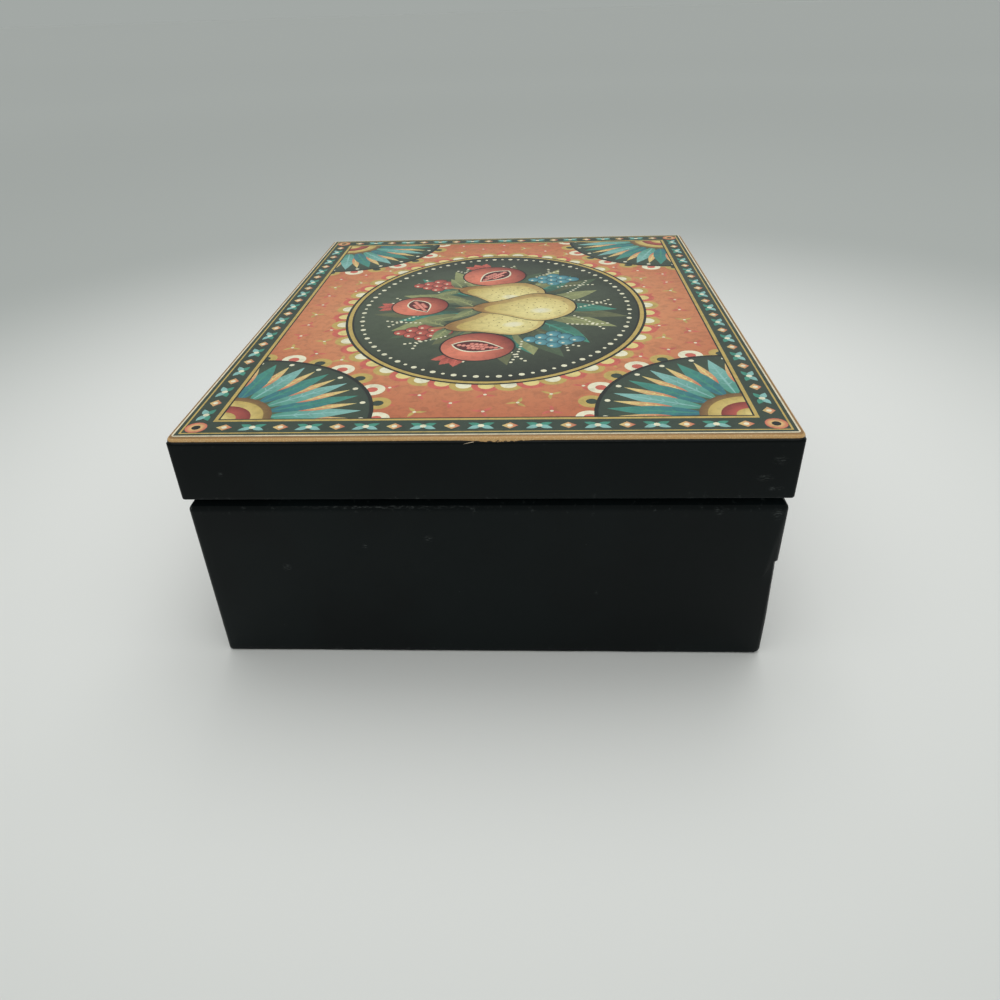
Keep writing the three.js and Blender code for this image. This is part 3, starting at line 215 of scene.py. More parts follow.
def lacquer_shader(name, shine, marks=()):
    """Black lacquer with specks of dust, worn edges and nicks at the marks."""
    s = Shader(name, Specular_IOR_Level=shine)
    body = s.mix(s.span(s.noise(34, 2), 0.35, 0.65), LACQUER_DARK, LACQUER_LIGHT)
    grains = s.add("TexVoronoi", {"Vector": s.place, "Scale": 1 / (3.2 * MM)})
    dust = s.times(s.span(grains, 0.05, 0.025), s.span(s.noise(11, 1), 0.6, 0.72))
    wear = s.add("Attribute", out="Fac", attribute_name="wear")
    rub = s.times(wear, s.span(s.noise(1.6, 5, 0.7), 0.58, 0.74))
    scuff = s.most(s.times(dust, 0.5), s.times(rub, 0.6))
    scratch = s.span(s.noise(0.36, 3, 0.6, (1, 0.3, 1.5)), 0.5, 0.62)
    for mark in marks:
        scuff = s.most(scuff, s.times(s.times(s.near(*mark), scratch), 0.64))
    rough = s.plus(s.span(s.noise(16, 3), 0.3, 0.7, 0.39, 0.46), s.times(scuff, 0.3))
    s.set(Base_Color=s.mix(s.times(scuff, 0.7), body, SCUFF), Roughness=rough)
    ripple = s.bump(s.noise(7, 3), 0.03, 0.5)
    s.set(Normal=s.bump(s.noise(0.9, 4, 0.65), 0.012, 0.5, ripple))
    return s.material


def gilt_shader(bottom, top, tear):
    """Gold paint on the panel's round edge, rubbed brown in places, with a ragged lower edge."""
    s = Shader("gilt_edge", Specular_IOR_Level=0.4)
    height = s.add("SeparateXYZ", {0: s.place}, "Z")
    flecks = s.span(s.noise(0.3, 3, 0.65), 0.5, 0.68)
    worn = s.span(s.noise(1.3, 5, 0.7), 0.58, 0.72)
    rim = s.span(height, (top - 0.22) * MM, (top - 0.02) * MM, 0.0, 0.75)
    gold = s.mix(s.times(flecks, 0.6), GILT, GILT_PALE)
    gold = s.mix(s.times(worn, 0.5), gold, GILT_DARK)
    gold = s.mix(rim, gold, GILT_DARK)
    ragged = s.times(s.noise(0.9, 4, 0.65), 0.16 * MM)
    torn = s.times(s.near(*tear), s.span(s.noise(1.6, 5, 0.7), 0.35, 0.55, 0.0, 0.5 * MM))
    edge = s.plus(s.plus(height, ragged), torn)
    gilded = s.span(edge, (bottom + 0.58) * MM, (bottom + 0.64) * MM)
    under = s.mix(s.span(edge, (bottom + 0.34) * MM, (bottom + 0.5) * MM), LACQUER_DARK, GILT_SHADOW)
    s.set(Base_Color=s.mix(gilded, under, gold), Metallic=s.times(gilded, 0.3))
    s.set(Roughness=s.span(s.noise(2.2), 0.3, 0.7, 0.38, 0.55), Normal=s.bump(s.noise(0.6, 4), 0.05, 0.5))
    return s.material


def print_shader():
    """The printed sheet: its paint, mottled as if brushed, under satin varnish."""
    s = Shader("lid_print", Specular_IOR_Level=0.34, Coat_Weight=0.15, Coat_Roughness=0.3)
    paint = s.add("Attribute", out="Color", attribute_name="paint")
    dabs = s.noise(2.4, 5, 0.65, distortion=0.6)
    colour = s.mix(s.span(dabs, 0.42, 0.68, 0.0, 0.55), paint, s.mix(1.0, paint, DAB_DARK, "MULTIPLY"))
    flick = s.span(s.noise(0.7, 3, 0.6, (1, 1.8, 1)), 0.6, 0.76, 0.0, 0.3)
    s.set(Base_Color=s.mix(flick, colour, s.mix(1.0, colour, DAB_LIGHT, "ADD")))
    s.set(Roughness=s.span(s.noise(14), 0.3, 0.7, 0.36, 0.5), Normal=s.bump(dabs, 0.02, 0.4))
    return s.material


def velvet_shader():
    """Deep red velvet: a short pile that is brushed one way in some places and another in others, its lighter
    and darker patches painted into the colour as sheen.
    """
    s = Shader("red_velvet", Sheen_Weight=0.55, Sheen_Roughness=0.35, Specular_IOR_Level=0.1)
    brushed = s.span(s.noise(19, 2, 0.45, distortion=0.2), 0.3, 0.7)
    pile = s.noise(0.28, 3, 0.7)
    shade = s.plus(s.times(brushed, 0.22), s.times(pile, 0.78))
    # Colour: painted sheen in patches where the pile is brushed, over the fine pile's own tone
    s.set(Base_Color=s.mix(s.span(shade, 0.15, 0.85), VELVET_DARK, VELVET_LIGHT), Sheen_Tint=VELVET_SHEEN)
    s.set(Roughness=s.span(brushed, 0.0, 1.0, 0.82, 0.95))
    s.set(Normal=s.bump(pile, 0.16, 0.8, s.bump(brushed, 0.25, 0.25)))
    return s.material


def metal_shader(name, light, dark, rough, size=1.2, stretch=(1, 1, 1)):
    """A worked metal: fine tool marks, uneven polish and a little tarnish."""
    s = Shader(name, Metallic=1.0)
    marks = s.noise(size, 3, 0.55, stretch)
    tarnish = s.span(s.noise(9, 3, 0.55), 0.4, 0.8)
    s.set(Base_Color=s.mix(s.times(tarnish, 0.6), light, dark), Normal=s.bump(marks, 0.006, 0.4))
    s.set(Roughness=s.span(s.plus(marks, tarnish), 0.4, 1.5, rough, rough + 0.16))
    return s.material


def mirror_shader():
    s = Shader("mirror_glass", Metallic=1.0)
    haze = s.span(s.noise(22, 4, 0.6), 0.5, 0.8)
    s.set(Base_Color=s.mix(haze, (226, 231, 230), (221, 226, 225)))
    s.set(Roughness=s.span(haze, 0.0, 1.0, 0.012, 0.03))
    return s.material


def clear_shader():
    """Clear acrylic with fine rubbing marks; lamps shine through it."""
    s = Shader("clear_cover", Transmission_Weight=1.0, IOR=1.49, Specular_IOR_Level=0.5)
    rubbed = s.noise(3.0, 5, 0.7, (1, 6, 1))
    s.set(Base_Color=s.mix(s.span(rubbed, 0.4, 0.8), (250, 252, 251), (238, 243, 242)))
    s.set(Roughness=s.span(rubbed, 0.45, 0.8, 0.01, 0.09))
    shadow = s.add("LightPath", out="Is Shadow Ray")
    both = s.add("MixShader", {0: shadow, 1: s.bsdf.outputs[0], 2: s.add("BsdfTransparent")})
    s.feed(s.tree.nodes["Material Output"].inputs["Surface"], both)
    return s.material


def fibreboard_shader():
    s = Shader("fibreboard", Specular_IOR_Level=0.2)
    fibres = s.noise(1.0, 6, 0.75, (1, 0.35, 1), 1.2)
    colour = s.mix(s.span(fibres, 0.3, 0.7), (104, 76, 50), (146, 112, 76))
    s.set(Base_Color=s.mix(s.span(s.noise(18, 3), 0.4, 0.7, 0.0, 0.4), colour, (92, 66, 44)))
    s.set(Roughness=s.span(fibres, 0.2, 0.8, 0.72, 0.9), Normal=s.bump(fibres, 0.12, 0.7))
    return s.material


def nylon_shader():
    s = Shader("nylon", Specular_IOR_Level=0.4, Subsurface_Weight=0.1)
    flow = s.noise(4, 3, 0.5, (1, 1, 0.3))
    s.set(Base_Color=s.mix(s.span(flow, 0.3, 0.7), (222, 216, 200), (236, 232, 220)))
    s.set(Roughness=s.span(flow, 0.3, 0.7, 0.4, 0.55), Normal=s.bump(flow, 0.02, 0.4))
    return s.material


# Mesh helpers; sizes are in millimetres unless they say otherwise

def add_object(name, data):
    made = bpy.data.objects.new(name, data)
    scene.collection.objects.link(made)
    return made


def mesh_object(name, vertices, faces, material, smooth=True):
    """A mesh from points in metres."""
    mesh = bpy.data.meshes.new(name)
    mesh.from_pydata([tuple(v) for v in vertices], [], [tuple(f) for f in faces])
    mesh.validate()
    mesh.materials.append(material)
    mesh.polygons.foreach_set("use_smooth", [smooth] * len(mesh.polygons))
    return add_object(name, mesh)


def bmesh_object(name, bm, *materials):
    mesh = bpy.data.meshes.new(name)
    bm.to_mesh(mesh)
    bm.free()
    for material in materials:
        mesh.materials.append(material)
    return add_object(name, mesh)


def outward(made):
    """Turns the faces of a closed mesh outwards."""
    bm = bmesh.new()
    bm.from_mesh(made.data)
    bmesh.ops.recalc_face_normals(bm, faces=bm.faces)
    bm.to_mesh(made.data)
    bm.free()
    return made


def tube_faces(rings, count, looped=False):
    """Faces of a tube of rings with count points each, looped back on itself or closed at both ends."""
    faces = []
    for i in range(rings if looped else rings - 1):
        j = (i + 1) % rings
        for k in range(count):
            n = (k + 1) % count
            faces.append((i * count + k, i * count + n, j * count + n, j * count + k))
    if not looped:
        faces += [tuple(range(count)), tuple(range((rings - 1) * count, rings * count))]
    return faces


def loft(name, rings, material, looped=False, scale=MM):
    """A closed mesh through rings of points."""
    points = [point * scale for ring in rings for point in ring]
    return outward(mesh_object(name, points, tube_faces(len(rings), len(rings[0]), looped), material))


def evaluated_mesh(made):
    graph = bpy.context.evaluated_depsgraph_get()
    return bpy.data.meshes.new_from_object(made.evaluated_get(graph), depsgraph=graph)


def apply_modifiers(made):
    mesh = evaluated_mesh(made)
    made.modifiers.clear()
    made.data = mesh


def smoothed(made):
    smooth = made.modifiers.new("smooth", "SUBSURF")
    smooth.levels = smooth.render_levels = 1
    return made


def settle(made, body, slot, *nodes):
    """Hides the CAD nodes that a piece stands for and hangs the piece on the body that it rides on; the slot
    is not used.
    """
    if nodes:
        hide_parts(*nodes)
    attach(made, body)


def nodes_box(*names):
    """The lowest and highest corner of CAD nodes."""
    boxes = np.array([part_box(name) for name in names]) / MM
    return boxes[:, 0].min(0), boxes[:, 1].max(0)


def shares(steps):
    """Numbers from 0 to 1 in even steps."""
    return [i / steps for i in range(steps + 1)]


def turns(count, shift=0.0):
    """Angles in even steps round a circle."""
    return [2 * pi * (k + shift) / count for k in range(count)]


def on_oval(x, y, angle, wide, tall=None):
    """A point on a circle or an oval about x, y."""
    return x + wide * cos(angle), y + (tall or wide) * sin(angle)


def turned(points, x, y, turn):
    """Points turned about the origin and moved to x, y."""
    c, s = cos(turn), sin(turn)
    return [(x + c * a - s * b, y + s * a + c * b) for a, b in points]


def arc(centre, radius, start, end, steps, wear=0.0):
    """Points of (inset, z, wear) on an arc, in degrees from the +inset direction."""
    return [(*on_oval(*centre, radians(start + (end - start) * t), radius), wear) for t in shares(steps)]


def crown(half, shoulder, steps):
    """Points of (side, z) over a half-round top."""
    return [(-half * cos(pi * t), shoulder + half * sin(pi * t)) for t in shares(steps)]


def rounded_ring(low, high, inset, radius, along, around=4):
    """A rounded rectangle inside a box: the same number of points at every inset."""
    x0, x1, y0, y1 = low[0] + inset, high[0] - inset, low[1] + inset, high[1] - inset
    r = max(radius - inset, 0.15)
    corners = [(x1 - r, y0 + r, -90), (x1 - r, y1 - r, 0), (x0 + r, y1 - r, 90), (x0 + r, y0 + r, 180)]
    points = []
    for k, (x, y, start) in enumerate(corners):
        points += [on_oval(x, y, radians(start + 90 * t), r) for t in shares(around)]
        next_x, next_y, turn = corners[(k + 1) % 4]
        a, b = np.array(points[-1]), np.array(on_oval(next_x, next_y, radians(turn), r))
        points += [tuple(a * (1 - t) + b * t) for t in shares(along[k % 2])[1:-1]]
    return points


def section_rings(low, high, section, radius):
    """Rings round a rectangle, one for each point of a section that starts with inset and z."""
    along = [max(2, round((high[i] - low[i]) / STATION)) for i in (1, 0)]
    rings = []
    for inset, z, *_ in section:
        rings.append([Vector((x, y, z)) for x, y in rounded_ring(low, high, inset, radius, along)])
    return rings


def uneven(point, amount):
    """A point moved a hair sideways, so that edges and faces look made by hand."""
    away = Vector((noise.noise(point * 0.11), noise.noise(point * 0.11 + Vector((9, 0, 0))), 0.0))
    return point + away * amount


def frame_loft(name, box, section, radius, material, unevenness):
    """A frame round a rectangle with a closed section of (inset, z, wear) points."""
    rings = section_rings(*box, section, radius)
    made = loft(name, [[uneven(p, unevenness) for p in ring] for ring in rings], material, True)
    wear = made.data.attributes.new("wear", "FLOAT", "POINT")
    wear.data.foreach_set("value", np.repeat([p[2] for p in section], len(rings[0])).astype(np.float32))
    return made


def cut(made, cutters):
    """Cuts other closed meshes out of one."""
    for cutter in cutters:
        tool = made.modifiers.new("cut", "BOOLEAN")
        tool.operation = "DIFFERENCE"
        tool.solver = "EXACT"
        tool.object = cutter
    apply_modifiers(made)
    for cutter in cutters:
        bpy.data.objects.remove(cutter)


def close_below(bm, z):
    """Closes a flat mesh with walls down to z and a face under them; gives the walls."""
    bmesh.ops.delete(bm, geom=[v for v in bm.verts if not v.link_faces], context="VERTS")
    walls = bmesh.ops.extrude_edge_only(bm, edges=[e for e in bm.edges if e.is_boundary])["geom"]
    for v in walls:
        if isinstance(v, bmesh.types.BMVert):
            v.co.z = z * MM
    bmesh.ops.edgeloop_fill(bm, edges=[e for e in bm.edges if e.is_boundary])
    bmesh.ops.recalc_face_normals(bm, faces=bm.faces)
    return [f for f in walls if isinstance(f, bmesh.types.BMFace)]


# Camera, light and stage

def photo_camera():
    camera = bpy.data.cameras.new("photo_camera")
    camera.sensor_width = SENSOR
    camera.lens = SENSOR * FOCAL_PIXELS / PHOTO_SIZE
    camera.clip_start = 0.01
    place = Matrix.Translation(CAMERA_PLACE)
    for angle, axis in ((-90 - CAMERA_YAW, "Z"), (90 - CAMERA_PITCH, "X"), (CAMERA_ROLL, "Z")):
        place = place @ Matrix.Rotation(radians(angle), 4, axis)
    scene.camera = add_object("photo_camera", camera)
    scene.camera.matrix_world = place


def soft_light():
    """An even room that is brighter overhead, and one wide lamp above and behind the box."""
    scene.view_settings.view_transform = "Standard"
    scene.world = bpy.data.worlds.new("soft_room")
    scene.world.use_nodes = True
    t = Tree(scene.world.node_tree)
    height = t.add("SeparateXYZ", {0: t.add("TexCoord", out="Generated")}, "Z")
    level = t.add("MapRange", {"Value": height, "To Min": ROOM_LOW, "To Max": ROOM_HIGH})
    lit = t.tree.nodes["Background"]
    t.feed(lit.inputs["Color"], ROOM_TINT)
    t.feed(lit.inputs["Strength"], level)
    shows = t.add("LightPath", out="Is Camera Ray")
    for ray in ("Is Glossy Ray", "Is Transmission Ray"):
        shows = t.add("Math", {0: shows, 1: t.add("LightPath", out=ray)}, operation="MAXIMUM")
    both = t.add("MixShader", {0: shows, 1: lit.outputs[0], 2: t.add("Background", {"Color": BACKDROP})})
    t.feed(t.tree.nodes["World Output"].inputs["Surface"], both)
    lamp = bpy.data.lights.new("overhead", "AREA")
    lamp.size = LAMP_SIZE
    lamp.energy = LAMP_POWER
    made = add_object("overhead", lamp)
    made.location = LAMP_PLACE
    made.rotation_euler = (Vector(LAMP_AIM) - Vector(LAMP_PLACE)).to_track_quat("-Z", "Y").to_euler()


def stage_floor():
    """A pale table with a painted pool of light round the box, dimming outwards, that shades off into the
    backdrop behind the box.
    """
    s = Shader("table_painted_light_pool", Roughness=0.6, Specular_IOR_Level=0.25)
    away = s.distance(s.place, FLOOR_MIDDLE)
    # Painted pool of light: lit near the box, dim further out
    near = s.mix(s.span(away, *FLOOR_DIMS), FLOOR_LIT_POOL, FLOOR_DIM)
    s.set(Base_Color=s.mix(s.span(away, *FLOOR_FADES), near, FLOOR_FAR))
    s.set(Normal=s.bump(s.noise(0.5, 2), 0.01, 0.3))
    corners = [(x * FLOOR_REACH, y * FLOOR_REACH, 0) for x, y in CORNERS]
    mesh_object("floor", corners, [(0, 1, 2, 3)], s.material, False)


# Case

def leaf_edge(side, part):
    """Corners of a hinge leaf's plate on its edge furthest from the pin, in metres."""
    corners = [v.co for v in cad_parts[f"hinge_{side}_{part}_leaf"].data.vertices]
    inner = min(c.y for c in corners)
    return [c for c in corners if c.y < inner + 1e-5]


def hinge_pockets(z0, z1):
    """Cutters for the hinge leaves' pockets, as wide as the leaves with a little room."""
    cutters = []
    for side in ("left", "right"):
        low, high = nodes_box(f"hinge_{side}_lower_leaf")
        start = Vector((low[0] - POCKET_ROOM, low[1] - POCKET_ROOM, z0))
        end = Vector((high[0] + POCKET_ROOM, high[1] + 5, z1))
        bm = bmesh.new()
        size = Matrix.Diagonal([*((end - start) * MM), 1])
        bmesh.ops.create_cube(bm, size=1, matrix=Matrix.Translation((start + end) / 2 * MM) @ size)
        cutters.append(bmesh_object("pocket", bm))
    return cutters


def chip_object(place, size, seed):
    """A jagged pebble that takes a chip out of an edge."""
    bm = bmesh.new()
    bmesh.ops.create_icosphere(bm, subdivisions=3, radius=1)
    for v in bm.verts:
        v.co *= 1 + 0.3 * noise.noise(v.co * 1.7 + Vector((seed, 0, 0)))
        v.co = (Vector([c * s for c, s in zip(v.co, size)]) + Vector(place)) * MM
    return bmesh_object("chip", bm)


def sliver_object(corner, top, bottom, depth, material):
    """A long thin wedge along an upright edge: deepest at its blunt top, running out at the bottom."""
    across, out, reach = Vector((-0.9, 0.44, 0)), Vector((-0.44, -0.9, 0)), 4
    rings = []
    for t in shares(16):
        z = top + (bottom - top) * t
        bite = depth * (1 - t) ** 0.8 + 0.08 * noise.noise(Vector((0, 0, z)))
        middle = Vector((*corner, z)) - out * bite
        a, b = middle + across * reach, middle - across * reach
        rings.append([a, b, b + out * reach, a + out * reach])
    return loft("sliver", rings, material)


def shade_gap_faces(made, in_gap_shade):
    """Gives the faces where lid and base meet a lacquer of low shine, as painted shade in the gap between
    them, by the height of their middles.
    """
    gap_shade = bpy.data.materials.get("gap_shade_lacquer") or lacquer_shader("gap_shade_lacquer", GAP_SHADE_SHINE)
    made.data.materials.append(gap_shade)
    for face in made.data.polygons:
        if in_gap_shade(face.center.z / MM):
            face.material_index = len(made.data.materials) - 1


def base_case():
    nodes = [f"base_{side}_wall" for side in SIDES]
    low, high = nodes_box(*nodes)
    left, front, top, ease = low[0], low[1], high[2], BASE_EASE
    shoulder = top - CHAMFER_RISE
    section = [(WALL, 0, 0), (ease + 0.6, 0, 0)] + arc((ease, ease), ease, 270, 180, 5, 0.9)
    section += [(0, ease + 1.2, 0.2), (0, ease + 3, 0), (0, top / 2, 0), (0, shoulder - 2.5, 0)]
    section += [(0, shoulder - 0.9, 0.3), (0, shoulder - 0.35, 0.9), (0.1, shoulder + 0.05, 1.0)]
    for share, wear in ((0.12, 0.8), (0.3, 0.3), (0.7, 0.3), (0.9, 0.8)):
        section.append((CHAMFER_RUN * share, shoulder + CHAMFER_RISE * share, wear))
    for inset, z, wear in ((0.1, top - 0.03, 1), (0.6, top, 0.5), (2, top, 0)):
        section.append((CHAMFER_RUN + inset, z, wear))
    section += [(WALL - 0.3, top, 0.4), (WALL, top - 0.3, 0.5), (WALL, top - 2, 0)]
    worn_line = (left + 0.45, 22, top - 1.9, 0.7, 45)
    lacquer = lacquer_shader("black_lacquer", SATIN, [(left, *nick) for nick in BASE_NICKS] + [worn_line])
    made = frame_loft("base_case", (low, high), section, BASE_CORNER, lacquer, 0.06)
    split = sliver_object((left, front), 31.0, 4.0, 1.15, lacquer)
    chip = chip_object((left - 0.2, front - 0.1, 0.1), (1.5, 1.5, 1.4), 8.0)
    pocket = min(c.z for c in leaf_edge("left", "lower")) / MM - POCKET_ROOM
    cut(made, [split, chip] + hinge_pockets(pocket, top + 2))
    # Painted shade: the upper part of the chamfer, under the lid, gets the low-shine lacquer
    shade_gap_faces(made, lambda z: z > top - GAP_SHADE_SHARE * CHAMFER_RISE)
    settle(made, "base", "black_lacquer", *nodes)


def lid_case():
    nodes = [f"lid_{side}_rail" for side in SIDES]
    low, high = nodes_box(*nodes)
    bottom, top, ease = low[2], high[2], LID_EASE
    board, step = nodes_box("lid_board")[0][2] - 0.1, WALL - RABBET
    section = [(WALL, bottom + 0.3, 0.4), (WALL - 0.3, bottom, 0.4)]
    section += [(ease + 1.5, bottom, 0), (ease + 0.5, bottom, 0.5)]
    section += arc((ease, bottom + ease), ease, 270, 180, 5, 1.0)
    section += [(0, bottom + ease + 0.6, 0.4), (0, bottom + ease + 2, 0), (0, (bottom + top) / 2, 0)]
    section += [(0, top - 2, 0), (0, top - 0.6, 0.2), (0, top, 0.3), (2, top, 0)]
    section += [(step, top, 0), (step, board, 0), (WALL, board, 0)]
    lacquer = lacquer_shader("lid_lacquer", SATIN, [(low[0], *nick) for nick in LID_NICKS])
    made = frame_loft("lid_case", (low, high), section, LID_CORNER, lacquer, 0.05)
    pocket = max(c.z for c in leaf_edge("left", "upper")) / MM + POCKET_ROOM
    cut(made, hinge_pockets(bottom - 2, pocket))
    # Painted shade: the lid's underside, over the gap, gets the low-shine lacquer
    shade_gap_faces(made, lambda z: z < bottom + 0.1)
    settle(made, "lid", "black_lacquer", *nodes)


def gilt_panel():
    """The panel under the print, its edge rounded and gilded."""
    low, high = nodes_box("picture_panel")
    bottom, top = low[2], high[2]
    section = [(3, bottom), (0.02, bottom), (0, bottom + 0.1), (0, top - PANEL_ROUND)]
    section += arc((PANEL_ROUND, top - PANEL_ROUND), PANEL_ROUND, 180, 90, 8)[1:]
    section += [(3, top)]
    rings = section_rings(low, high, section, PANEL_CORNER)
    for point in (p for ring in rings for p in ring if p.z < top - 0.2):
        point.z += 0.03 * noise.noise(point * 0.7)
    tear = (low[0], -6, bottom + 0.4, 9.0)
    made = loft("gilt_panel", rings, gilt_shader(bottom, top, tear))
    settle(made, "lid", "gilt_edge", "picture_panel")


def edge_splinter():
    """A wisp of gilding that has lifted off the lid's edge."""
    low, _ = nodes_box("picture_panel")
    start = Vector((low[0] - 0.02, -0.5, low[2] + 0.15))
    rings = []
    for t in shares(8):
        middle = start + Vector((-0.12 * sin(t * 3.0), 2.3 * t, -0.55 * t ** 1.6))
        r = 0.11 * (1 - 0.8 * t)
        rings.append([middle + Vector((0.5 * r * cos(a), 0, r * sin(a))) for a in turns(6)])
    settle(loft("edge_splinter", rings, bpy.data.materials["gilt_edge"]), "lid", "gilt_edge")


# Lid print: fruit and leaves in an oval, fans in the corners and a border

def leaf(x, y, length, width, turn, bend=0.0, steps=9):
    """A pointed leaf from its foot at x, y, curving by bend."""
    spine = [(t * length, bend * length * t * t, width / 2 * sin(pi * t ** 0.8)) for t in shares(steps)]
    upper = [(a, b + half) for a, b, half in spine]
    lower = [(a, b - half) for a, b, half in spine[1:-1]]
    return turned(upper + lower[::-1], x, y, turn)


def pear(x, y, tall, turn):
    """A pear's outline: round below, drawn in to a blunt neck."""
    half = []
    for t in shares(20):
        a = pi * (t - 0.5)
        rise = 0.5 * sin(a)
        pinch = min(1.0, max(0.0, (rise + 0.2) / 0.5))
        pinch *= pinch * (3 - 2 * pinch)
        half.append((0.43 * tall * cos(a) * (1 - 0.5 * pinch), rise * tall))
    return turned(half[:-1] + [(-a, b) for a, b in half[:0:-1]], x, y, turn)


def blended(start, end, share_of):
    """A paint between two colours, by a share for each point."""
    a, b = (np.array(linear(c)[:3]) for c in (start, end))

    def paint(points):
        share = np.clip(share_of(points), 0, 1)[..., None]
        return a * (1 - share) + b * share
    return paint


def glow(x, y, reach, inner, outer):
    return blended(inner, outer, lambda p: (np.hypot(p[..., 0] - x, p[..., 1] - y) / reach) ** 1.5)


def fade(x0, y0, x1, y1, start, end):
    way = np.array((x1 - x0, y1 - y0))
    return blended(start, end, lambda p: (p - (x0, y0)) @ way / (way @ way))


class Picture:
    """Shapes in plain colours or paints, one over another in a rectangle of these half sizes."""

    def __init__(self, half_x, half_y):
        self.half_x, self.half_y = half_x, half_y
        self.shapes = []
        self.add(rounded_ring((-half_x, -half_y), (half_x, half_y), 0, PRINT_CORNER, (1, 1), 3), PAPER)

    def add(self, outline, paint):
        if any(abs(x) <= self.half_x and abs(y) <= self.half_y for x, y in outline):
            self.shapes.append((np.array(outline), paint))

    def dot(self, x, y, r, paint, sides=None, squash=1.0, turn=0.0):
        """A disc or an oval, or a lozenge if it has four sides."""
        count = sides or max(8, min(40, round(5 * r) + 6))
        self.add(turned([on_oval(0, 0, a, r, r * squash) for a in turns(count)], x, y, turn), paint)

    def leaf(self, x, y, length, width, turn, light, dark, bend=0.0):
        """A leaf that is darker at its foot, with a pale midrib and veins."""
        tip = on_oval(x, y, turn, length)
        self.add(leaf(x, y, length, width, turn, bend), fade(x, y, *tip, dark, light))
        self.add(leaf(x, y, length * 0.96, width * 0.1 + 0.12, turn, bend, 6), light)
        for t in shares(7)[2:6]:
            [foot] = turned([(t * length, bend * length * t * t)], x, y, turn)
            for side in (-1, 1):
                self.add(leaf(*foot, width * 0.4, 0.34, turn + side * 0.75, 0, 4), light)

    def corners(self, inset):
        return [(x * (self.half_x - inset), y * (self.half_y - inset)) for x, y in CORNERS]

    def frame(self, inset, width, paint):
        """A band along the four sides, as four mitred strips."""
        outer, inner = self.corners(inset), self.corners(inset + width)
        for k in range(4):
            n = (k + 1) % 4
            self.add([outer[k], outer[n], inner[n], inner[k]], paint)

    def topmost(self, spots):
        """For each spot, the number of the last shape painted over it, or -1 outside the first."""
        order = np.argsort(spots[:, 0])
        xs, ys = spots[order].T
        owner = np.full(len(spots), -1)
        for number, (ring, _) in enumerate(self.shapes):
            start, end = np.searchsorted(xs, (ring[:, 0].min(), ring[:, 0].max()))
            x, y = xs[start:end], ys[start:end]
            inside = np.zeros(end - start, bool)
            for (ax, ay), (bx, by) in zip(ring, np.roll(ring, -1, 0)):
                crosses = (ay > y) != (by > y)
                inside ^= crosses & (x < (bx - ax) * (y - ay) / (by - ay or 1) + ax)
            covered = order[start:end][inside]
            owner[covered if number == 0 else covered[owner[covered] >= 0]] = number
        return owner


def draw_field(p):
    p.add(p.corners(BORDER), glow(0, 0, 92, PEACH, RUST))
    x, y = p.half_x - BORDER - 3, p.half_y - BORDER - 3
    pitch = 9.5
    for i in range(-9, 10):
        for j in range(-8, 9):
            cx, cy = i * pitch + (j % 2) * pitch / 2, j * pitch * 0.87
            if abs(cx) > x or abs(cy) > y:
                continue
            for k in range(3):
                turn = 0.9 * i + 1.7 * j + k * 2.1
                p.add(leaf(cx, cy, 3.0, 1.1, turn, 0.2, 5), CORAL if (i + j) % 3 else OCHRE)
            p.dot(cx, cy, 0.5, CREAM, 6)


def draw_fan(p, x, y):
    """A fan of petals about a corner of the field."""
    for k, a in enumerate(turns(28)):
        at = on_oval(x, y, a, 38)
        p.dot(*at, 3.4, (OCHRE, CREAM)[k % 2])
        p.dot(*at, 1.5, (FOREST, CORAL)[k % 2])
    p.dot(x, y, 37, INK, 56)
    p.dot(x, y, 36, glow(x, y, 36, MOSS, FOREST), 56)
    for k, a in enumerate(turns(24, 0.5)):
        light, dark = ((MIST, TEAL), (TEAL, BLUE))[k % 2]
        p.leaf(*on_oval(x, y, a, 11), 23, 5.6, a, light, dark)
        between = a + pi / 24
        p.leaf(*on_oval(x, y, between, 18), 15, 2.6, between, STRAW, CORAL)
        p.dot(*on_oval(x, y, between, 34.4), 0.75, CREAM, 8)
    rings = ((12.5, OCHRE, UMBER), (10.5, STRAW, OCHRE), (7.5, CORAL, CRIMSON), (4, STRAW, OCHRE))
    for r, inner, outer in rings:
        p.dot(x, y, r, glow(x, y, r, inner, outer), 36)


def draw_border(p):
    bands = ((0, 0.42, PAPER), (0.42, 7.98, FOREST), (1.3, 0.45, OCHRE), (7.4, 0.9, OCHRE))
    for band in (*bands, (BORDER, 0.35, INK)):
        p.frame(*band)
    corners = p.corners(4.4)
    for (x0, y0), (x1, y1) in zip(corners, corners[1:] + corners[:1]):
        count = round(hypot(x1 - x0, y1 - y0) / 6.6)
        turn = atan2(y1 - y0, x1 - x0)
        for k in range(1, count):
            cx, cy = x0 + (x1 - x0) * k / count, y0 + (y1 - y0) * k / count
            if k % 2:
                p.dot(cx, cy, 1.9, fade(cx, cy - 2, cx, cy + 2, CORAL, STRAW), 4, 0.8, turn)
                p.dot(cx, cy, 0.7, CREAM, 6)
                continue
            for side in (-1, 1):
                for splay, colour in ((0.45, TEAL), (-0.45, MIST)):
                    way = turn + pi * (side < 0) + side * splay
                    p.add(leaf(cx, cy, 3.4, 1.7, way, 0, 6), colour)
            p.dot(cx, cy, 0.8, CREAM, 8)
        p.dot(x0, y0, 2.6, glow(x0, y0, 2.6, STRAW, CORAL), 16)
        p.dot(x0, y0, 1.1, INK, 10)


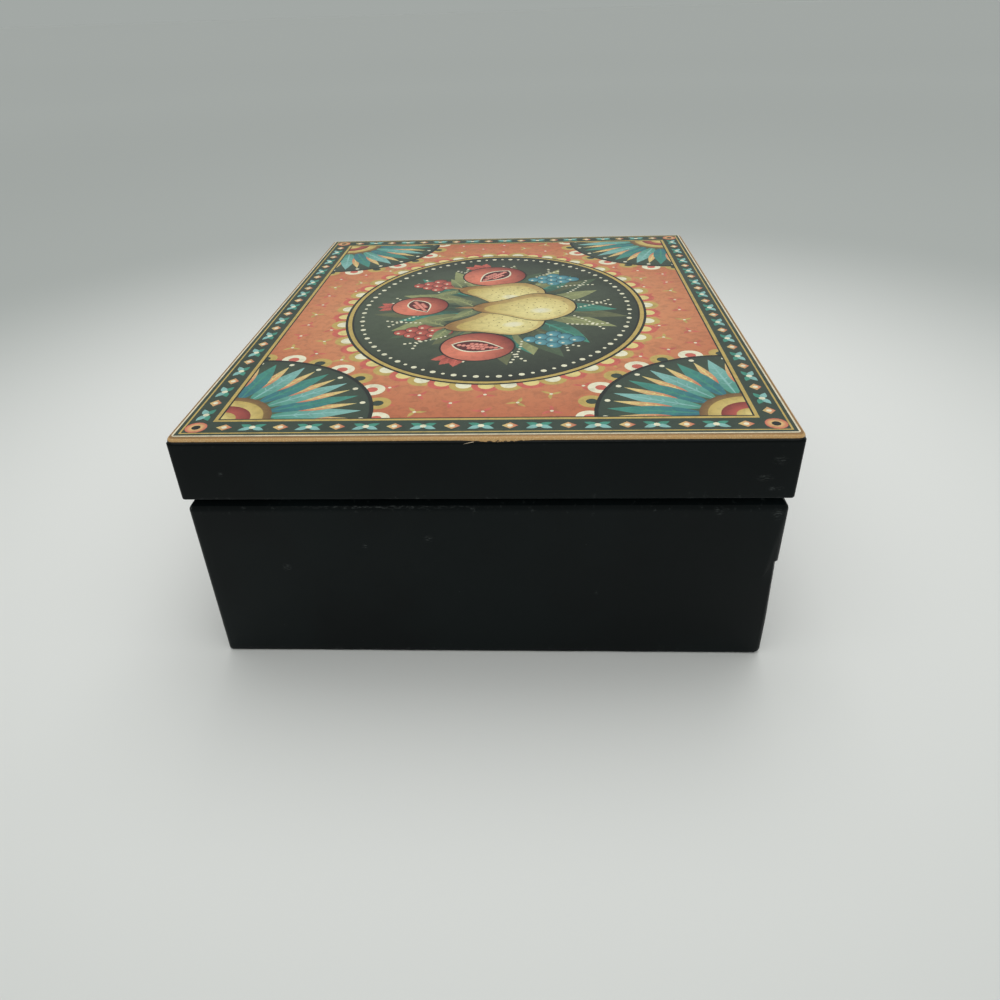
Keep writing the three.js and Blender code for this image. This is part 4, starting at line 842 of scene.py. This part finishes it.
def draw_oval(p):
    wide, tall = 58, 45
    for k, a in enumerate(turns(52)):
        at = on_oval(0, 0, a, wide + 3, tall + 3)
        p.dot(*at, 3.9, (CORAL, OCHRE)[k % 2], 18)
        p.dot(*at, 2.2, (STRAW, CREAM)[k % 2], 12)
    for grow, paint in ((2.6, INK), (1.8, OCHRE), (0.6, INK), (0, glow(0, 6, 62, GLADE, INK))):
        p.dot(0, 0, wide + grow, paint, 96, (tall + grow) / (wide + grow))
    for k, a in enumerate(turns(88)):
        p.dot(*on_oval(0, 0, a, wide - 2.6, tall - 2.6), 0.55 + 0.3 * (k % 2), CREAM, 8)


def draw_foliage(p):
    greens = [(MOSS, FOREST), (OLIVE, FOREST), (TEAL, FOREST), (SAGE, OLIVE)]
    for k, a in enumerate(turns(34)):
        a += 0.11 * sin(k * 5.0)
        reach = 25 * (1 + 0.16 * sin(k * 2.3))
        away = atan2(sin(a) * 0.8, cos(a))
        p.leaf(*on_oval(0, -2, a, 19, 12), reach, 8.5, away, *greens[k % 4], 0.16 * sin(k * 1.9))
    for k, a in enumerate(turns(26, 0.3)):
        for i in range(9):
            r = 0.62 + 0.034 * i
            bend = a + 0.022 * i * (1 if k % 2 else -1)
            p.dot(*on_oval(0, -1, bend, 52 * r, 40 * r), 0.42 + 0.05 * (i % 3), CREAM, 7)


def draw_berries(p, x, y, light, dark):
    size = 2.3
    for i, j in ((0, 2), (-1, 1), (1, 1), (-2, 0), (0, 0), (2, 0), (-1, -1), (1, -1), (0, -2)):
        cx, cy = x + i * size * 0.95, y + j * size * 1.45
        p.dot(cx, cy, size * 1.08, INK, 16)
        p.dot(cx, cy, size, glow(cx - size * 0.3, cy + size * 0.35, size * 1.4, light, dark), 16)
        p.dot(cx - size * 0.32, cy + size * 0.36, size * 0.22, CREAM, 7)


def draw_pomegranate(p, x, y, r, turn):
    """A pomegranate with its crown at turn, split open across to show the seeds."""
    for splay in (-0.55, 0, 0.55):
        p.leaf(*on_oval(x, y, turn, r * 0.8), r * 0.75, r * 0.4, turn + splay, CORAL, CRIMSON)
    p.dot(x, y, r * 1.05, INK, 36)
    p.dot(x, y, r, glow(x - r * 0.3, y + r * 0.35, r * 1.45, PINK, CRIMSON), 36)
    split = turn + 2.0
    for long, wide, colour in ((1.5, 0.86, CREAM), (1.4, 0.74, PIP_DARK)):
        foot = on_oval(x, y, split, -r * long / 2)
        p.add(leaf(*foot, r * long, r * wide, split, 0, 14), colour)
    for j in (-1, 0, 1):
        for i in range(-4, 5):
            u, v = 0.13 * (i + 0.5 * (j % 2)), 0.15 * j
            if abs(u) + 1.6 * abs(v) > 0.52:
                continue
            [at] = turned([(r * u, r * v)], x, y, split)
            p.dot(*at, r * 0.066, glow(*at, r * 0.09, PIP_LIGHT, CORAL), 9, 1.25, split)


def draw_pear(p, x, y, tall, turn):
    tip = tall * 0.47
    spots = [(0, tip), (0, tip - 0.6), (-tall * 0.12, -tall * 0.16), (-tall * 0.035, -tall * 0.02)]
    top, foot, lit, inner = turned(spots, x, y, turn)
    p.leaf(*top, tall * 0.42, tall * 0.17, turn + 0.5, SAGE, FOREST, 0.2)
    p.leaf(*top, tall * 0.36, tall * 0.15, turn + 2.7, SAGE, MOSS, -0.2)
    p.add(pear(x, y, tall * 1.035, turn), INK)
    p.add(pear(x, y, tall, turn), glow(*lit, tall * 0.6, STRAW, PEAR_DARK))
    p.add(pear(*inner, tall * 0.82, turn), glow(*lit, tall * 0.52, PEAR_LIGHT, OCHRE))
    for k in range(34):
        r = tall * 0.05 * sqrt(k)
        [freckle] = turned([on_oval(0, -tall * 0.16, k * 2.4, r * 0.9, r)], x, y, turn)
        p.dot(*freckle, 0.26, UMBER, 6)
    p.dot(*lit, tall * 0.07, glow(*lit, tall * 0.12, CREAM, PEAR_LIGHT), 14, 1.7, turn)
    p.add(leaf(*foot, tall * 0.23, 1.7, turn + 1.35, 0.18, 7), STEM)


def lid_design(half_x, half_y):
    p = Picture(half_x, half_y)
    draw_field(p)
    for x, y in p.corners(BORDER):
        draw_fan(p, x, y)
    draw_border(p)
    draw_oval(p)
    draw_foliage(p)
    for fruit in ((-34, 4, 10.5, 2.5), (34, 2, 11, 0.5), (2, 25, 9, 1.6)):
        draw_pomegranate(p, *fruit)
    for x, y, light, dark in ((-29, -18, SKY, BLUE), (29, -19, SKY, BLUE),
                              (-22, 21, CORAL, CRIMSON), (24, 21, CORAL, CRIMSON)):
        draw_berries(p, x, y, light, dark)
    for fruit in ((-14, 0, 31, 0.28), (15, -1, 30, -0.3), (0, -9, 33, 0.03)):
        draw_pear(p, *fruit)
    return p


def lid_print():
    """The picture as a flat mesh: each shape's own outline, coloured face by face."""
    low, high = nodes_box("picture_sheet")
    middle, half = (low + high) / 2, (high - low) / 2
    picture = lid_design(half[0], half[1])
    points, lines = [], []
    for ring, _ in picture.shapes:
        first, count = len(points), len(ring)
        lines += [(first + i, first + (i + 1) % count) for i in range(count)]
        points += [Vector(q) for q in ring]
    columns, rows = (int(half[i] / PRINT_GRID) for i in (0, 1))
    for i in range(-columns, columns + 1):
        for j in range(-rows, rows + 1):
            points.append(Vector((i * PRINT_GRID + 0.4 * sin(j * 3.1), j * PRINT_GRID + 0.4 * sin(i * 2.7))))
    spots, _, faces, *_ = delaunay_2d_cdt(points, lines, [], 0, 1e-4, False)
    where, faces = np.array([(q.x, q.y) for q in spots]), np.array(faces)
    owners = picture.topmost(where[faces].mean(1))
    faces, owners = faces[owners >= 0], owners[owners >= 0]
    vertices = [((x + middle[0]) * MM, (y + middle[1]) * MM, high[2] * MM) for x, y in where]
    made = mesh_object("lid_print", vertices, faces.tolist(), print_shader(), False)
    colours = np.ones((*faces.shape, 4), np.float32)
    for number in np.unique(owners):
        mine, (_, paint) = owners == number, picture.shapes[number]
        colours[mine, :, :3] = linear(paint)[:3] if isinstance(paint, tuple) else paint(where[faces[mine]])
    made.data.attributes.new("paint", "FLOAT_COLOR", "CORNER").data.foreach_set("color", colours.ravel())
    bm = bmesh.new()
    bm.from_mesh(made.data)
    layer = bm.loops.layers.float_color["paint"]
    for face in close_below(bm, low[2]):
        for loop in face.loops:
            loop[layer] = linear(PAPER)
    bm.to_mesh(made.data)
    bm.free()
    settle(made, "lid", "print", "picture_sheet")


# Velvet

def soft_board(name, velvet):
    """A velvet-covered board on edge, rounded over at the top."""
    low, high = nodes_box(name)
    a, b = (0, 1) if high[0] - low[0] > high[1] - low[1] else (1, 0)
    half, middle = (high[b] - low[b]) / 2, (high[b] + low[b]) / 2
    levels = [low[2], low[2] + 4, (low[2] + high[2]) / 2, high[2] - half - 3]
    section = [(-half, z) for z in levels] + crown(half, high[2] - half, 10)
    section += [(half, z) for z in levels[::-1]]
    rings = []
    for t in shares(round((high[a] - low[a]) / 2)):
        ring = []
        for side, z in section:
            spot = Vector((0, 0, z))
            spot[a] = low[a] + (high[a] - low[a]) * t
            swell = 0.12 * noise.noise(Vector((spot[a] * 0.09, side * 0.4, z * 0.12)))
            spot[b] = middle + side * (1 - abs(swell) if side * swell > 0 else 1.0)
            ring.append(spot)
        rings.append(ring)
    settle(loft("velvet_" + name, rings, velvet), "base", "velvet", name)


def tray_lining(velvet):
    nodes = [f"lining_{side}" for side in SIDES]
    low, high = nodes_box(*nodes)
    bottom, top = low[2], high[2]
    profile = [(0, bottom), (0, top - 0.4), (0.25, top - 0.05), (0.6, top)]
    profile += [(1.0, top - 0.15), (1.3, top - 0.5)]
    profile += [(1.5, z) for z in (top - 1.2, top - 3, (bottom + top) / 2, bottom)]
    section = [(inset, z, 0) for inset, z in profile]
    made = frame_loft("tray_lining", (low, high), section, LINING_CORNER, velvet, 0.05)
    settle(made, "base", "velvet", *nodes)


def floor_velvet(velvet):
    """The velvet floor of the tray, open where the movement stands."""
    low, high = nodes_box("floor_lining")
    bay_right, bay_front = nodes_box("partition_side")[0][0], nodes_box("partition_main")[1][1] - 3
    columns = np.unique([*np.linspace(low[0], bay_right, 28), *np.linspace(bay_right, high[0], 39)])
    rows = np.unique([*np.linspace(low[1], bay_front, 28), *np.linspace(bay_front, high[1], 26)])
    bm = bmesh.new()
    grid = {}
    for i, x in enumerate(columns):
        for j, y in enumerate(rows):
            rise = 0.1 * noise.noise(Vector((x * 0.12, y * 0.12, 0))) - 0.1
            grid[i, j] = bm.verts.new(Vector((x, y, high[2] + rise)) * MM)
    for i, x in enumerate(columns[:-1]):
        for j, y in enumerate(rows[:-1]):
            if x > bay_right - 0.1 or y < bay_front - 0.1:
                bm.faces.new((grid[i, j], grid[i + 1, j], grid[i + 1, j + 1], grid[i, j + 1]))
    close_below(bm, low[2])
    for face in bm.faces:
        face.smooth = True
    settle(bmesh_object("floor_velvet", bm, velvet), "base", "velvet", "floor_lining")


def swollen_points(form, held, slack):
    """The points of a closed form after its cloth has filled out, with the held points kept in place."""
    group = form.vertex_groups.new(name="held")
    group.add([int(i) for i in np.nonzero(held)[0]], 1.0, "REPLACE")
    cloth = form.modifiers.new("cloth", "CLOTH")
    cloth.point_cache.frame_end = SIM_FRAMES
    stuff = cloth.settings
    stuff.use_pressure = True
    stuff.uniform_pressure_force = PRESSURE
    stuff.effector_weights.gravity = 0
    stuff.vertex_group_mass = "held"
    stuff.tension_stiffness = stuff.compression_stiffness = STRETCH
    stuff.bending_stiffness = BENDING
    stuff.shrink_min = -slack
    for number in range(1, SIM_FRAMES + 1):
        scene.frame_set(number)
    mesh = evaluated_mesh(form)
    moved = np.array([v.co for v in mesh.vertices])
    bpy.data.meshes.remove(mesh)
    scene.frame_set(1)
    return moved


def filled(rings, velvet, is_held, slack=0.0, voxel=None):
    """Points and faces of a closed form through rings, swollen as stuffed cloth by at most the cap."""
    scale = MM * SIM_SCALE
    form = loft("form", rings, velvet, scale=scale)
    if voxel:
        remesh = form.modifiers.new("remesh", "REMESH")
        remesh.mode = "VOXEL"
        remesh.voxel_size = voxel * scale
        apply_modifiers(form)
    rest = np.array([v.co for v in form.data.vertices])
    moved = swollen_points(form, is_held(rest / scale), slack)
    push = moved - rest
    length = np.linalg.norm(push, axis=1, keepdims=True)
    push *= np.minimum(1.0, SWELL_CAP * scale / np.maximum(length, 1e-9))
    faces = [tuple(p.vertices) for p in form.data.polygons]
    bpy.data.objects.remove(form)
    return (rest + push) / scale, faces


def lid_pads(velvet):
    """The padded velvet border round the mirror: four stuffed strips that meet in a seam at each mitre."""
    nodes = [f"lid_lining_{side}" for side in SIDES]
    low, high = nodes_box(*nodes)
    middle, half = (low + high) / 2, (high - low) / 2
    bottom, top = low[2], high[2]
    reach, border, lip, sewn = 14.0, 10.0, 1.6, 1.3
    section = [(0, top), (0, bottom + sewn + 0.25)]
    section += [(0.15 + (reach - 0.3) * t, bottom + sewn - 0.4 * sin(pi * t)) for t in shares(14)]
    section += [(reach, bottom + lip - 0.05), (border + 0.1, bottom + lip), (border, top)]
    count = len(section)
    for k, node in enumerate(nodes):
        end, out = (half[0], half[1]) if k % 2 == 0 else (half[1], half[0])
        c, s = ((1, 0), (0, 1), (-1, 0), (0, -1))[k]
        steps = round(2 * end / 1.6)
        rings = []
        for i in range(steps + 1):
            strip = [((2 * i / steps - 1) * (end - inset - 0.04), inset - out, z) for inset, z in section]
            ring = [(middle[0] + c * a - s * b, middle[1] + s * a + c * b, z) for a, b, z in strip]
            rings.append([Vector(spot) for spot in ring])
        held = np.ones((steps + 1, count), bool)
        held[1:-1, 3:-4] = False
        points, faces = filled(rings, velvet, lambda _: held.ravel(), PAD_SLACK)
        points[:, 2] = np.maximum(points[:, 2], bottom)
        name = node.replace("lining", "pad")
        made = outward(mesh_object(name, [Vector(q) * MM for q in points], faces, velvet))
        crease = made.data.attributes.new("crease_edge", "FLOAT", "EDGE")
        ends = [{v // count for v in edge.vertices} in ({0}, {steps}) for edge in made.data.edges]
        crease.data.foreach_set("value", [float(is_end) for is_end in ends])
        smoothed(made)
        settle(made, "lid", "velvet", node)


def roll_form(length, width, tall):
    """Rings of a ring roll before it is filled: narrow, with a round crown and blunt ends."""
    half, shoulder = width / 2, tall - width / 2
    section = [(-half * 0.8, 0), (-half * 0.9, shoulder * 0.5)] + crown(half, shoulder, 8)
    section += [(half * 0.9, shoulder * 0.5), (half * 0.8, 0)]
    stations = [(0, 0.7), (0.02, 0.88), (0.05, 0.97), (0.1, 1.0), (0.5, 1.0)]
    stations += [(1 - share, full) for share, full in stations[-2::-1]]
    rings = []
    for share, full in stations:
        rings.append([Vector(((share - 0.5) * length, y * full, z * (0.6 + 0.4 * full))) for y, z in section])
    return rings


def ring_rolls(velvet):
    """Five ring rolls from one stuffed form, each gathered at its ends and dented in its own way."""
    low, high = nodes_box("ring_roll_1")
    rings = roll_form(*((high - low) * (0.98, 0.86, 0.97)))
    points, faces = filled(rings, velvet, lambda q: q[:, 2] < q[:, 2].min() + 0.6, voxel=ROLL_VOXEL)
    points = (points - points.min(0)) / (points.max(0) - points.min(0)) - 0.5
    for number in range(1, 6):
        low, high = nodes_box(f"ring_roll_{number}")
        middle, size = (low + high) / 2, high - low
        vertices = []
        for x, y, z in points:
            end = (0.5 - abs(x)) * size[0]
            fold = sin(atan2(z + 0.1, y) * 11 + number + 2 * noise.noise(Vector((x, y, z)) * 6))
            gather = 0.35 * exp(-end / 4.5) * fold
            dent = 0.3 * (noise.noise(Vector((x * 9, y * 2, z * 2 + number * 7))) - 0.55)
            shrink = 1 + min(0.0, (gather + dent) / (size[1] / 2)) * (1 if z > -0.45 else 0)
            spot = (x, y * shrink, z if z < 0 else z * (0.75 + 0.25 * shrink))
            vertices.append(Vector(middle + size * np.array(spot)) * MM)
        made = smoothed(mesh_object(f"velvet_roll_{number}", vertices, faces, velvet))
        settle(made, "base", "velvet", f"ring_roll_{number}")


# Hardware

def add_screw_head(bm, place, facing, turn):
    """A low domed head in two halves, on a dark disc that shows in the slot between them and round the edge:
    painted shade, and grime.
    """
    def add_tube(outline, profile, material_index):
        verts = []
        for grow, rise in profile:
            for x, y in turned(outline(SCREW_RADIUS * grow), 0, 0, turn):
                verts.append(bm.verts.new(place + Vector((x, y, facing * rise)) * MM))
        for face in tube_faces(len(profile), len(verts) // len(profile)):
            bm.faces.new([verts[i] for i in face]).material_index = material_index

    start, slot = asin(SCREW_SLOT / 2 / SCREW_RADIUS), SCREW_SLOT / 2
    angles = [start + (pi - 2 * start) * t for t in shares(14)]
    for half in (-1, 1):
        add_tube(lambda r: [(r * cos(a), half * max(r * sin(a), slot)) for a in angles], SCREW_PROFILE, 0)
    # The dark seat under the head: painted shade and grime in the slot and round the edge
    add_tube(lambda r: [on_oval(0, 0, a, r) for a in turns(32)], SEAT_PROFILE, 1)
    bmesh.ops.recalc_face_normals(bm, faces=bm.faces)


def hinge_screws(steel, slot_shade_and_grime):
    """Three slotted screw heads on each hinge leaf, almost flush with it."""
    for side in ("left", "right"):
        for part, body, facing in (("lower", "base", 1), ("upper", "lid", -1)):
            edge = leaf_edge(side, part)
            plane = max(facing * c.z for c in edge) * facing
            x0, x1 = min(c.x for c in edge), max(c.x for c in edge)
            bm = bmesh.new()
            for share, inset in ((0.16, 3.6), (0.5, 2.6), (0.84, 3.6)):
                y = min(c.y for c in edge) + inset * MM
                add_screw_head(bm, Vector((x0 + (x1 - x0) * share, y, plane)), facing, 7 * share + len(side))
            settle(bmesh_object(f"hinge_screws_{side}_{part}", bm, steel, slot_shade_and_grime), body, "steel")


def stop_spring(steel):
    """The stop's spring as a round wire, in place of the CAD node."""
    low, high = nodes_box("stop_spring")
    wire, curls, around, steps = 0.25, 4, 10, 28
    foot = Vector(((low[0] + high[0]) / 2, (low[1] + high[1]) / 2, low[2] + wire))
    radius, rise = (high[0] - low[0]) / 2 - wire, high[2] - low[2] - 2 * wire
    speed = radius * 2 * pi * curls
    rings = []
    for share in shares(steps * curls):
        a = 2 * pi * curls * share
        out = Vector((cos(a), sin(a), 0))
        ahead = Vector((-sin(a) * speed, cos(a) * speed, rise)).normalized()
        across = ahead.cross(out)
        spot = foot + out * radius + Vector((0, 0, rise * share))
        rings.append([spot + (out * cos(b) + across * sin(b)) * wire for b in turns(around)])
    made = loft("stop_spring_coil", rings, steel)
    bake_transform(made)
    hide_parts("stop_spring")


def by_angle(limit=35):
    """A node group that shades round faces smooth and keeps edges sharper than the limit sharp."""
    group = bpy.data.node_groups.new("smooth_by_angle", "GeometryNodeTree")
    for way in ("INPUT", "OUTPUT"):
        group.interface.new_socket("Geometry", in_out=way, socket_type="NodeSocketGeometry")
    t = Tree(group, "")
    angle = t.add("GeometryNodeInputMeshEdgeAngle", out="Unsigned Angle")
    angles = {"A": angle, "B": radians(limit)}
    sharp = t.add("FunctionNodeCompare", angles, "Result", operation="GREATER_THAN")
    smooth = t.add("GeometryNodeSetShadeSmooth", {"Geometry": t.add("NodeGroupInput")}, domain="FACE")
    inputs = {"Geometry": smooth, "Selection": sharp, "Shade Smooth": False}
    t.add("NodeGroupOutput", {0: t.add("GeometryNodeSetShadeSmooth", inputs, domain="EDGE")})
    return group


def finish_nodes(finishes, bevels, flat_nodes):
    """Gives each CAD node that still shows its material, shading and, on plates, a fine broken edge."""
    shade = by_angle()
    for names, material in finishes:
        for name in names:
            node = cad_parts[name]
            node.data.materials.clear()
            node.data.materials.append(material)
            if name in flat_nodes:
                continue
            node.modifiers.new("weld", "WELD").merge_threshold = 1e-6
            if name in bevels:
                edge = node.modifiers.new("edge", "BEVEL")
                edge.width = bevels[name] * MM
                edge.segments = 2
                edge.limit_method = "ANGLE"
                edge.angle_limit = radians(40)
            node.modifiers.new("shade", "NODES").node_group = shade
            if name in bevels:
                node.modifiers.new("even", "WEIGHTED_NORMAL").keep_sharp = True


photo_camera()
soft_light()
stage_floor()

velvet = velvet_shader()
brass = metal_shader("brass", (196, 158, 92), (140, 104, 54), 0.22)
steel = metal_shader("steel", (182, 186, 188), (128, 130, 130), 0.2, 0.8, (1, 5, 1))
zinc = metal_shader("zinc", (150, 154, 156), (112, 115, 116), 0.36, 0.6)
# Dark steel for the screws' slots and seats: painted shade, and grime
slot_shade_and_grime = metal_shader("slot_shade_grimy_steel", (62, 56, 48), (30, 28, 26), 0.5)

base_case()
lid_case()
gilt_panel()
edge_splinter()
lid_print()
tray_lining(velvet)
floor_velvet(velvet)
for board in ("partition_main", "partition_side", "divider_front"):
    soft_board(board, velvet)
ring_rolls(velvet)
lid_pads(velvet)
hinge_screws(steel, slot_shade_and_grime)
stop_spring(steel)

LEAVES = [f"hinge_{side}_{part}_leaf" for side in ("left", "right") for part in ("lower", "upper")]
BEVELS = {"movement_cover": 0.25, "bedplate": 0.25, "winding_key": 0.3, "governor_bracket": 0.12,
          "spring_barrel": 0.2, **{name: 0.12 for name in LEAVES}}
finish_nodes([
    (LEAVES + ["hinge_left_pin", "hinge_right_pin"], brass),
    (["spring_barrel", "drive_wheel", "music_cylinder", "great_wheel"], brass),
    (["governor_bracket", "winding_key", "plunger_guide"], brass),
    (["mainspring", "winding_arbor", "cylinder_arbor", "idler_arbor", "comb"], steel),
    (["comb_screw_1", "comb_screw_2", "movement_screw_1", "movement_screw_2"], steel),
    (["governor_worm", "stop_plunger"], steel),
    (["bedplate"], zinc),
    (["worm_wheel", "governor_fan"], nylon_shader()),
    (["base_floor", "lid_board", "cover_ledge"], fibreboard_shader()),
    (["mirror"], mirror_shader()),
    (["movement_cover"], clear_shader()),
], BEVELS, {"mirror"})
